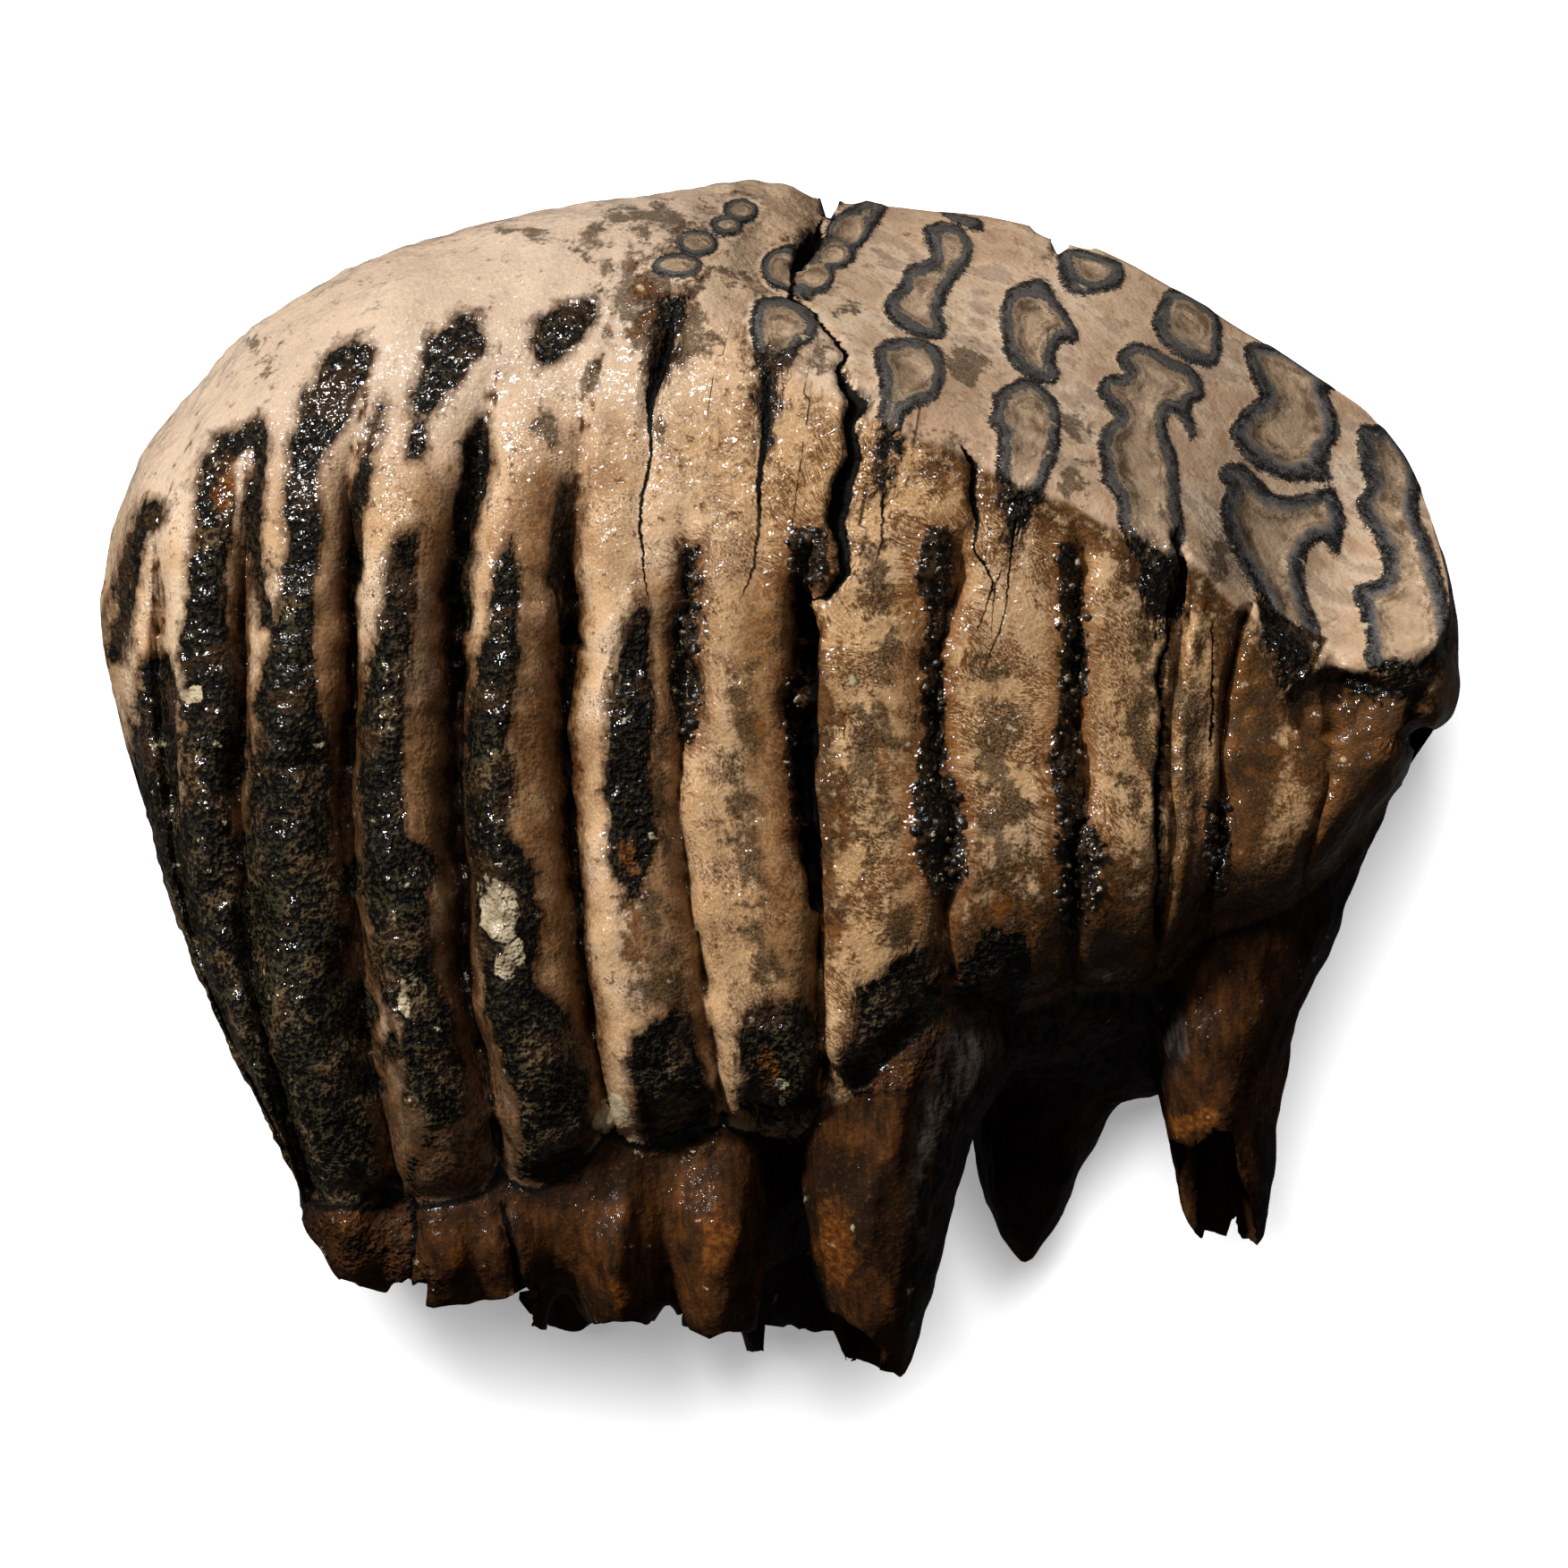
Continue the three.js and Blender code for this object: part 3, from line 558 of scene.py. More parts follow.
def sheet(name, points):
    """A closed skin over a grid of points, whose first and last rows meet."""
    columns, rows = points.shape[:2]
    bm = bmesh.new()
    bmesh.ops.create_grid(bm, x_segments=columns - 1, y_segments=rows - 1, size=1)
    for v in bm.verts:
        i = round((v.co.x + 1) / 2 * (columns - 1))
        j = round((v.co.y + 1) / 2 * (rows - 1))
        v.co = points[i, j] * MM
    bmesh.ops.remove_doubles(bm, verts=bm.verts, dist=WELD)
    bmesh.ops.dissolve_degenerate(bm, edges=bm.edges, dist=1e-7)
    bmesh.ops.holes_fill(bm, edges=bm.edges, sides=0)
    bmesh.ops.recalc_face_normals(bm, faces=bm.faces)
    return placed(name, bm)


def placed(name, bm):
    mesh = bpy.data.meshes.new(name)
    bm.to_mesh(mesh)
    bm.free()
    piece = bpy.data.objects.new(name, mesh)
    bpy.context.scene.collection.objects.link(piece)
    return piece


# The roots
def bend_through(points, share):
    """A centripetal curve through points, at shares of its way."""
    points = np.array(points, float)
    points = np.vstack([2 * points[0] - points[1], points, 2 * points[-1] - points[-2]])
    knots = np.sqrt(np.linalg.norm(np.diff(points, axis=0), axis=1))
    place = share * (len(points) - 3)
    i = np.minimum(place.astype(int), len(points) - 4)
    f = (place - i)[:, None]
    a, b, c, d = (points[i + n] for n in range(4))
    k0, k1, k2 = (knots[i + n][:, None] for n in range(3))
    leave = ((b - a) / k0 - (c - a) / (k0 + k1) + (c - b) / k1) * k1
    arrive = ((c - b) / k1 - (d - b) / (k1 + k2) + (d - c) / k2) * k1
    second, third = 3 * (c - b) - 2 * leave - arrive, 2 * (b - c) + leave + arrive
    return b + leave * f + second * f**2 + third * f**3


def root_at(stations, sides, rings, seed=0):
    """A tapering root with a rounded tip."""
    v = np.linspace(0, 1, rings + 1)
    down = 1 - (1 - v) ** 1.3
    axis = bend_through([p[:3] for p in stations], down)
    girth = bend_through([(p[3], p[4], n) for n, p in enumerate(stations)], down)
    shut = np.where(v < 0.5, np.minimum(v * 8, 1), (1 - v**9) ** 0.4)
    turn = np.linspace(0, 2 * np.pi, sides + 1)
    around = np.broadcast_to(np.stack([np.cos(turn), np.sin(turn)], axis=1), (rings + 1, sides + 1, 2))
    fluted = wander(3 * around[..., 0] + 2 * down[:, None], 3 * around[..., 1] + seed, seed + 20)
    around = around * (girth[:, None, :2] * shut[:, None, None]) * (1 + 0.07 * fluted[..., None])
    plan = axis[:, None, :] + np.dstack([around[..., 0], 0 * around[..., 0], around[..., 1]])
    plan[..., :2] -= PLAN_CENTRE
    return plan


def broken_out(outline, low, high):
    bm = bmesh.new()
    rim = [bm.verts.new((*(np.array(p) - PLAN_CENTRE) * MM, low * MM)) for p in outline]
    face = bm.faces.new(rim)
    rest = bmesh.ops.extrude_face_region(bm, geom=[face])["geom"]
    risen = [v for v in rest if isinstance(v, bmesh.types.BMVert)]
    bmesh.ops.translate(bm, verts=risen, vec=(0, 0, (high - low) * MM))
    bmesh.ops.recalc_face_normals(bm, faces=bm.faces)
    return placed("break", bm)


def broken_tips():
    """Ragged cuts across the ends of the roots."""
    random = np.random.default_rng(11)
    cuts = []
    for stations in UPPER_ROOTS[:-1] + LOWER_ROOTS[:-1]:
        x, y, z, wide, _ = stations[-1]
        reach = wide + TIP_REACH
        line = [(x + reach * place, y + TIP_LOSS + random.uniform(-1, 1) * TIP_RAGGED + abs(place) * 1.5)
                for place in np.linspace(-1, 1, 8)]
        low, high = (z - TIP_DEPTH, ABOVE) if z > MID_HEIGHT else (BELOW, z + TIP_DEPTH)
        line += [(x + reach, y - TIP_DEPTH), (x - reach, y - TIP_DEPTH)]
        cuts.append(broken_out(line, low, high))
    return cuts


def settled(piece):
    """Makes the shape that its modifiers give a piece its own."""
    shown = piece.evaluated_get(bpy.context.evaluated_depsgraph_get())
    whole = bpy.data.meshes.new_from_object(shown)
    piece.modifiers.clear()
    piece.data = whole


def combined(piece, others, operation):
    """Joins or cuts, and does away with the others."""
    for other in others:
        step = piece.modifiers.new(operation, "BOOLEAN")
        step.operation = operation
        step.solver = "MANIFOLD"
        step.object = other
    settled(piece)
    for other in others:
        bpy.data.objects.remove(other)


def root_mass():
    """The roots and the stocks that they leave, grown together."""
    roots = [sheet("root", root_at(s, 40, 34, n)) for n, s in enumerate(UPPER_ROOTS + LOWER_ROOTS)]
    roots.append(sheet("root", root_at(FRONT_ROOT, 56, 60, 13)))
    roots += [sheet("stock", root_at(s, 90, 44, 14)) for s in STOCKS]
    mass = roots.pop()
    combined(mass, roots, "UNION")
    even = mass.modifiers.new("even", "REMESH")
    even.mode = "VOXEL"
    even.voxel_size = ROOT_GRAIN * MM
    ease = mass.modifiers.new("ease", "SMOOTH")
    ease.factor = 0.5
    ease.iterations = 14
    settled(mass)
    return mass


def bead():
    """The little pale bead of cement stuck at the fourth plate's foot."""
    bm = bmesh.new()
    bmesh.ops.create_icosphere(bm, subdivisions=3, radius=BEAD_RADIUS * MM)
    bmesh.ops.translate(bm, verts=bm.verts, vec=Vector((*(BEAD[:2] - PLAN_CENTRE), BEAD[2])) * MM)
    return placed("bead", bm)


def tooth_skin():
    columns, rows = crown_columns(), crown_rows()
    crown_points, crown_known = crown_at(columns, rows)
    tooth = sheet("tooth", crown_points)
    combined(tooth, [root_mass(), bead()], "UNION")
    cuts = [sheet("hollow", root_at(s, 20, 14)) for s in ROOT_HOLLOWS]
    cuts += [broken_out(*b) for b in BREAKS] + broken_tips()
    combined(tooth, cuts, "DIFFERENCE")
    return tooth, crown_points.reshape(-1, 3), crown_known.reshape(-1, crown_known.shape[2])


tooth, crown_points, crown_known = tooth_skin()


# What each point of the skin is
def as_seen(points):
    """Where points of the piece, in mm, are in the photograph."""
    close = (CAMERA_HEIGHT - LEVEL) / (CAMERA_HEIGHT - points[:, 2:])
    plain = (points[:, :2] + PLAN_CENTRE) / PHOTO_PIXEL * (1, -1) + PHOTO_MIDDLE
    return PHOTO_CENTRE + (plain - PHOTO_CENTRE) * close


def rounded(outline):
    """A closed outline with its corners eased."""
    a = np.array(outline, float)
    near = [np.roll(a, k, axis=0)[:, None, :] for k in (1, 0, -1, -2)]
    return through(*near, np.linspace(0, 1, 3, endpoint=False)[None, :, None]).reshape(-1, 2)


def ring(x, y, wide, high):
    turn = np.linspace(0, 2 * np.pi, 14, endpoint=False)
    return np.stack([x + wide * np.cos(turn), y + high * np.sin(turn)], axis=1)


def inside_by(seen, outline):
    """How far inside an outline each place is, in mm, and below zero outside it."""
    deep = np.full(len(seen), -FAR)
    reach = FAR / PHOTO_PIXEL
    near = np.all((seen > outline.min(axis=0) - reach) & (seen < outline.max(axis=0) + reach), axis=1)
    places = seen[near]
    gap = np.full(len(places), np.inf)
    inside = np.zeros(len(places), bool)
    for p, q in zip(outline, np.roll(outline, -1, axis=0)):
        run = q - p
        share = np.clip((places - p) @ run / max(run @ run, 1e-9), 0, 1)
        gap = np.minimum(gap, np.linalg.norm(places - p - share[:, None] * run, axis=1))
        spans = (p[1] > places[:, 1]) != (q[1] > places[:, 1])
        slope = run[0] / run[1] if run[1] else 0
        inside ^= spans & (places[:, 0] < p[0] + (places[:, 1] - p[1]) * slope)
    deep[near] = np.clip(np.where(inside, gap, -gap) * PHOTO_PIXEL, -FAR, FAR)
    return deep


def band_outline(rows):
    """Down the left ends of a band's rows and up the right ones."""
    ends = [(left, y) for y, left, _ in rows] + [(right, y) for y, _, right in rows[::-1]]
    return np.array(ends, float)


def deepest_inside(seen, outlines):
    return np.max([inside_by(seen, outline) for outline in outlines], axis=0)


def deepest_in_bands(seen, bands):
    return deepest_inside(seen, [band_outline(rows) for rows in bands])


def from_cracks(seen):
    """The signed distance to the nearest crack and its half width there, in mm."""
    best = np.full(len(seen), 1e3)
    signed = np.full(len(seen), FAR)
    half = np.zeros(len(seen))
    for crack in CRACKS:
        path = np.array(crack, float)
        for p, q in zip(path, path[1:]):
            run = q[:2] - p[:2]
            share = np.clip((seen - p[:2]) @ run / (run @ run), 0, 1)
            off = seen - p[:2] - share[:, None] * run
            gap = np.linalg.norm(off, axis=1) * PHOTO_PIXEL
            width = mix(p[2], q[2], share) * PHOTO_PIXEL / 2
            closer = gap - width < best
            best[closer] = (gap - width)[closer]
            side = np.where(run[0] * off[:, 1] - run[1] * off[:, 0] < 0, -1, 1)
            signed[closer] = (gap * side)[closer]
            half[closer] = width[closer]
    return np.clip(signed, -FAR, FAR), half


def spotted(seen, spots):
    """1 in the middle of any of the spots, 0 outside them."""
    most = np.zeros(len(seen))
    for x, y, wide, high in spots:
        out = np.hypot((seen[:, 0] - x) / wide, (seen[:, 1] - y) / high)
        most = np.maximum(most, 1 - smooth(out, 0.35, 1.35))
    return most


def noise_at(points, scale, seed=0):
    """Smooth random bumps, of about a given size in mm, at each point."""
    shift = Vector((seed * 7.3, seed * 3.1, seed * 5.7))
    return np.array([noise.noise(Vector(p) / scale + shift) for p in points])


def stray(points, spread, size, seeds):
    """A shift in the photograph for each point, of up to about so many pixels."""
    return spread * np.stack([noise_at(points, size, seed) for seed in seeds], axis=1)


def coordinates(mesh):
    flat = np.empty(len(mesh.vertices) * 3)
    mesh.vertices.foreach_get("co", flat)
    return flat.reshape(-1, 3) / MM


def normals(mesh):
    flat = np.empty(len(mesh.vertices) * 3)
    mesh.vertex_normals.foreach_get("vector", flat)
    return flat.reshape(-1, 3)


def known_of(points):
    """What the crown's surface is at each point, and how far off that surface it is."""
    tree = kdtree.KDTree(len(crown_points))
    for n, p in enumerate(crown_points):
        tree.insert(p, n)
    tree.balance()
    found = [tree.find(p)[1:] for p in points]
    index = np.array([n for n, _ in found])
    return crown_known[index], np.array([gap for _, gap in found])


def soften_joins(mesh, off_crown):
    """Eases the corners where roots leave the crown."""
    bm = bmesh.new()
    bm.from_mesh(mesh)
    bm.verts.ensure_lookup_table()
    on_crown = off_crown < 0.02
    joins = [e for e in bm.edges if on_crown[e.verts[0].index] != on_crown[e.verts[1].index]]
    edge = {v for e in joins for v in e.verts}
    for _ in range(3):
        edge |= {e.other_vert(v) for v in edge for e in v.link_edges}
    axes = {"use_axis_" + axis: True for axis in "xyz"}
    for _ in range(10):
        bmesh.ops.smooth_vert(bm, verts=list(edge), factor=0.5, **axes)
    bm.to_mesh(mesh)
    bm.free()


def moved(mesh, points):
    """Puts the mesh's vertices at points, kept on the floor and in the solid's box."""
    low, high = np.array(solid_box[0]) / MM, np.array(solid_box[1]) / MM
    points = np.clip(points, low - (*SPARE[:2], 0), high + SPARE)
    mesh.vertices.foreach_set("co", (points * MM).ravel())
    mesh.update()


def rise_of(part):
    """How far each point stands or sinks: broad lumps, ribs along the plates, and what comes
    with its finish."""
    points, worn, root = part.points, part.worn, part.root
    ribs = noise_at(np.stack([part.t * 9, part.h * 7, part.side], axis=1), 1.6, 5)
    rise = 0.55 * noise_at(points, 9, 1) + 0.28 * noise_at(points, 3.6, 2) + 0.1 * noise_at(points, 1.4, 6)
    rise = rise * mix(1, 0.3, worn) + 0.16 * ribs * (1 - worn) * (1 - root)
    sunk = smooth(part.dark, -0.15, 0.3) * (1 - worn)
    rise = rise - (0.2 - 0.3 * noise_at(points, 1.1, 17)) * sunk * (1 - root)
    loop = smooth(part.enamel, -0.1, 0.2) - smooth(part.enamel, 1.2, 2.2) * 1.6
    rise = rise + 0.16 * worn * loop
    wall = inside_by(part.seen, band_outline(BROKEN_WALL))
    rise = rise - smooth(wall, -0.15, 0.4) * (1.1 + 0.5 * noise_at(points, 2.2, 18))
    flutes = noise_at(points * (1, 0.22, 1), 1.7, 8)
    rise = rise + root * (0.35 * flutes - 0.1)
    rise = rise + smooth(part.grit, -0.4, 0.4) * (1 - worn) * (0.2 + 0.7 * noise_at(points, 0.9, 9))
    gape = 1 - smooth(np.abs(part.crack), part.crack_half * 0.5, part.crack_half + 0.25)
    rise = rise - gape * smooth(part.crack_half, 0.08, 0.35) * 1.1
    return rise * smooth(points[:, 2], 0.2, 4)


def gloss_of(part, patchy):
    """How wet the varnish looks, how thick its film lies, and how pitted the skin is."""
    glazed, soaked = spotted(part.seen, GLAZED_SPOTS), spotted(part.seen, SOAKED_SPOTS)
    wet = 0.3 + 0.6 * smooth(patchy, 0.3, 0.8)
    wet = wet + np.maximum(glazed + soaked, 0.5 * smooth(part.grit, -1.5, 0))
    polished = smooth(part.worn, 0.3, 0.7)
    matt = 0.6 * polished * (1 - soaked) + 0.82 * smooth(part.root, 0.3, 0.6)
    wet = np.minimum(wet, 1) * (1 - np.minimum(matt, 1))
    bare = smooth(part.dark, -0.1, 0.1)
    crusty = np.max([soaked, smooth(part.grit, -0.5, 0), bare * smooth(part.across, *WOOLLY)], axis=0)
    film = (0.36 + 0.3 * crusty) * (1 - 0.6 * glazed)
    return wet, film, mix(0.12 + 0.4 * bare, 0.08, polished)


def describe(tooth):
    """Works out, for every vertex, what part of the tooth it is in, and shapes it to that."""
    mesh = tooth.data
    points = coordinates(mesh)
    _, off_crown = known_of(points)
    soften_joins(mesh, off_crown)
    points = coordinates(mesh)
    known, off_crown = known_of(points)
    t, h, groove, past, flank_shade, seam = known.T
    root = smooth(off_crown, 0.15, 1.6)
    seen = as_seen(points)
    under = smooth(MID_HEIGHT - points[:, 2], 0, TURN_UNDER)
    side = 4 * np.clip((points[:, 2] - MID_HEIGHT) / TURN_UNDER, -1, 1)
    seen = seen + under[:, None] * stray(points, 22, 14, (3, 4))
    wavy = seen + stray(points, 12, 2.6, (30, 31))
    wavy = wavy + stray(points, 7, 1.0, (32, 33))

    # Loops, bands, cracks and smoke, as the photograph has them
    enamel = deepest_inside(seen, [rounded(o) for o in ENAMEL_LOOPS.values()])
    enamel = enamel + 0.16 * noise_at(points, 1.7, 20) + 0.12 * noise_at(points, 0.9, 21)
    pearls = deepest_inside(seen, [ring(*p) for p in PEARLS])
    enamel = np.maximum(enamel, np.where(pearls > 0, 2.2 * pearls, pearls))
    dark = deepest_in_bands(seen, DARK_BANDS)
    dark = np.maximum(dark, enamel) + 0.5 * noise_at(points, 3.0, 22) + 0.4 * noise_at(points, 1.1, 23)
    grit = deepest_in_bands(seen, GRIT_BANDS)
    crack, crack_half = from_cracks(0.75 * seen + 0.25 * wavy)
    crack_half = crack_half * (1 - under)
    smoky = smooth(deepest_in_bands(wavy, SMOKY_BANDS), -1.4, 1.6)
    across = t * PLATE_THICKNESS + 0.9 * noise_at(points, 2.4, 16)
    along = h * CROWN_HEIGHT
    streaks = noise_at(np.stack([across, 0.3 * along, side], axis=1), 1.6, 14)
    smoky = np.maximum(smoky, spotted(wavy, SMOKY_SPOTS)) * (1 + 1.3 * streaks)
    brown = deepest_in_bands(wavy, BROWN_BANDS)
    # The second skin, between the roots, also carries painted light: its grey is painted paler where it lies
    # in shade
    ashen, arch = [smooth(inside_by(wavy, band_outline(rows)), -1.5, 1.5) * (1 - under)
                   for rows in (ASHEN_FLANGE, ASHEN_ARCH_AND_PAINTED_LIGHT)]

    # The worn face, with the rings beside it and without the tongue that hangs over its rim
    worn = smooth(past + 1.1 * noise_at(points, 2.4, 19), -1.6, 0.6) * smooth(t, 6.2, 7.2) * (1 - root)
    near_ring = inside_by(seen, rounded(ENAMEL_LOOPS["sixth plate, near"]))
    shown = smooth(near_ring, -0.7, -0.2) * (1 - smooth(seen[:, 1], 375, 405))
    worn = np.maximum(worn, np.maximum(shown, smooth(pearls, -0.7, -0.2)) * (1 - root))
    tongue = inside_by(seen, band_outline(TONGUE))
    worn = worn * (1 - smooth(tongue + 0.3 * noise_at(points, 1.0, 26), -0.3, 0.2))

    # What follows the plates: the dark lower back, the seams, the stained foot, the brown rim
    lower_left = smooth(1 - h, 0.35, 0.75) * (1 - smooth(t, 2.2, 5.2))
    dark = np.maximum(dark, (lower_left + 0.5 * noise_at(points, 3.0, 15) - 0.8) * 5)
    seam = seam * (1 - smooth(t, 5.2, 6.2)) * smooth(noise_at(points, 1.0, 27), -0.1, 0.2)
    groove = np.maximum(groove, 0.45 * seam)
    foot = smooth(0.28 - h, 0, 0.24)
    mottled = np.maximum(0.8 * lower_left, spotted(wavy, MOTTLED_SPOTS))
    mottled = np.maximum(mottled, foot * (1 - smooth(t, 4, 5.5)))
    front = smooth(t, 6.2, 8.8)
    brown = np.maximum(brown, (foot * smooth(t, 6.5, 8.5) - 0.45) * 3)
    below_rim = smooth(past, -7, -2) * smooth(t, 6.6, 8) + 0.5 * noise_at(points, 3.5, 28)
    brown = np.maximum(brown, (below_rim - 0.75) * 2)

    part = SimpleNamespace(
        points=points, seen=seen, t=t, h=h, side=side, across=across, worn=worn, root=root,
        enamel=enamel, dark=dark, grit=grit, crack=crack, crack_half=crack_half)
    moved(mesh, points + normals(mesh) * rise_of(part)[:, None])

    patchy = 0.5 + noise_at(points, 2.9, 12)
    facts = {
        "grown": (across, along, side),
        "edges": (enamel, dark, grit),
        "crack": (crack, crack_half, smooth(crack_half + 0.9 - np.abs(crack), 0, 0.5)),
        "kind": (worn, root, groove),
        "spots": (spotted(wavy, AMBER_SPOTS), spotted(wavy, PALE_SPOTS), smoky),
        "ashen_skins_and_painted_light": (ashen, arch),
        "finish": gloss_of(part, patchy),
        "zone": (mottled, front, brown),
        # The hairs' third value is the painted shade on the flanks
        "hairs": (0.5 * across + noise_at(points, 5, 24),
                  along + across + 3 * noise_at(points, 6, 25), flank_shade),
        "tones": (0.5 + noise_at(points, 11, 11), patchy, 0.5 + noise_at(points, 1.3, 13)),
    }
    # Each fact is a vector of up to three values
    for name, values in facts.items():
        layer = mesh.attributes.new(name, "FLOAT_VECTOR", "POINT")
        table = np.zeros((len(points), 3), np.float32)
        table[:, :len(values)] = np.stack(values, axis=1)
        layer.data.foreach_set("vector", table.ravel())


describe(tooth)
tooth.data.polygons.foreach_set("use_smooth", [True] * len(tooth.data.polygons))


# Finishes
def colour(code):
    """A colour written as it looks, as the light it sends back."""
    shown = [int(code[n:n + 2], 16) / 255 for n in (0, 2, 4)]
    return (*(c / 12.92 if c <= 0.04045 else ((c + 0.055) / 1.055) ** 2.4 for c in shown), 1)


class Nodes:
    """A material's nodes, made one to a call."""

    def __init__(self, name):
        self.material = bpy.data.materials.new(name)
        self.material.use_nodes = True
        self.tree = self.material.node_tree
        self.shader = self.tree.nodes["Principled BSDF"]

    def add(self, kind, inputs, output=0, **settings):
        node = self.tree.nodes.new("ShaderNode" + kind)
        for key, value in settings.items():
            setattr(node, key, value)
        for key, value in inputs.items():
            self.give(node.inputs[key], value)
        return node.outputs[output]

    def give(self, socket, value):
        if isinstance(value, bpy.types.NodeSocket):
            self.tree.links.new(value, socket)
        elif isinstance(value, str):
            socket.default_value = colour(value)
        else:
            socket.default_value = value

    def facts(self, name):
        vector = self.add("Attribute", {}, "Vector", attribute_name=name)
        split = self.tree.nodes.new("ShaderNodeSeparateXYZ")
        self.tree.links.new(vector, split.inputs[0])
        return [vector, *split.outputs]

    def sum(self, a, b):
        return self.add("Math", {0: a, 1: b}, operation="ADD")

    def times(self, a, b):
        return self.add("Math", {0: a, 1: b}, operation="MULTIPLY")

    def minus(self, a, b):
        return self.add("Math", {0: a, 1: b}, operation="SUBTRACT")

    def scaled(self, value, by, plus):
        return self.add("Math", {0: value, 1: by, 2: plus}, operation="MULTIPLY_ADD")

    def swing(self, value, by):
        """What a noise is off its middle, times a number."""
        return self.times(self.sum(value, -0.5), by)

    def most(self, a, b):
        return self.add("Math", {0: a, 1: b}, operation="MAXIMUM")

    def without(self, a, b):
        """a where b isn't."""
        return self.times(a, self.add("Math", {0: 1.0, 1: b}, operation="SUBTRACT", use_clamp=True))

    def step(self, value, low, high):
        """0 at low, 1 at high, and a soft change between."""
        inputs = {"Value": value, "From Min": low, "From Max": high}
        return self.add("MapRange", inputs, interpolation_type="SMOOTHSTEP")

    def mixed(self, factor, a, b):
        return self.add("Mix", {0: factor, 6: a, 7: b}, 2, data_type="RGBA")

    def stretched(self, vector, by):
        return self.add("VectorMath", {0: vector, 1: by}, operation="MULTIPLY")

    def noise(self, vector, scale, detail, rough=0.55):
        inputs = {"Vector": vector, "Scale": scale, "Detail": detail, "Roughness": rough}
        return self.add("TexNoise", inputs)

    def ramp(self, value, stops):
        socket = self.add("ValToRGB", {0: value})
        marks = socket.node.color_ramp.elements
        marks.remove(marks[1])
        marks[0].position, marks[0].color = stops[0][0], colour(stops[0][1])
        for place, code in stops[1:]:
            marks.new(place).color = colour(code)
        return socket


class ToothNodes(Nodes):
    """What the tooth's finishes share: facts about its skin, and patterns sized in millimetres."""

    def __init__(self):
        super().__init__("varnished tooth")
        self.place = self.stretched(self.add("TexCoord", {}, "Object"), (1000, 1000, 1000))
        self.grown, self.across, self.along, _ = self.facts("grown")
        _, self.enamel, self.dark, self.grit = self.facts("edges")
        _, self.crack, self.crack_half, self.crack_near = self.facts("crack")
        _, self.worn, self.root, self.groove = self.facts("kind")
        _, self.amber, self.pale, self.smoky = self.facts("spots")
        _, self.mottled, self.front, self.brown = self.facts("zone")
        _, self.broad, self.patchy, self.lumpy = self.facts("tones")
        # The hairs' third value is the painted shade on the flanks
        self.hair_way, _, _, self.flank_shade = self.facts("hairs")
        _, self.ashen, self.arch, _ = self.facts("ashen_skins_and_painted_light")
        _, self.wet, self.film, self.pitting = self.facts("finish")

        self.grainy = self.noise(self.place, 1.8, 2, 0.65)
        self.fine = self.noise(self.place, 5.5, 1, 0.6)
        self.fibres = self.noise(self.stretched(self.grown, (1.0, 0.22, 1.0)), 1.9, 3, 0.7)
        self.hairs = self.noise(self.stretched(self.hair_way, (1.4, 1.0, 0.0)), 4.0, 2, 0.7)
        self.uneven = self.sum(self.swing(self.grainy, 2.0), self.swing(self.lumpy, 0.8))
        self.woolly = self.step(self.across, *WOOLLY)
        haze = self.sum(self.smoky, self.sum(self.swing(self.fibres, 1.8), self.times(self.uneven, 1.1)))
        self.veil = self.times(self.step(haze, 0.3, 1.15), self.times(self.step(self.smoky, 0.05, 0.3), 0.8))

    def frayed(self, value, by):
        """A value with an uneven edge."""
        return self.sum(value, self.times(self.uneven, by))

    def patched(self, value, by):
        """A value that comes and goes."""
        return self.times(value, self.sum(self.times(self.uneven, by), 1.0))


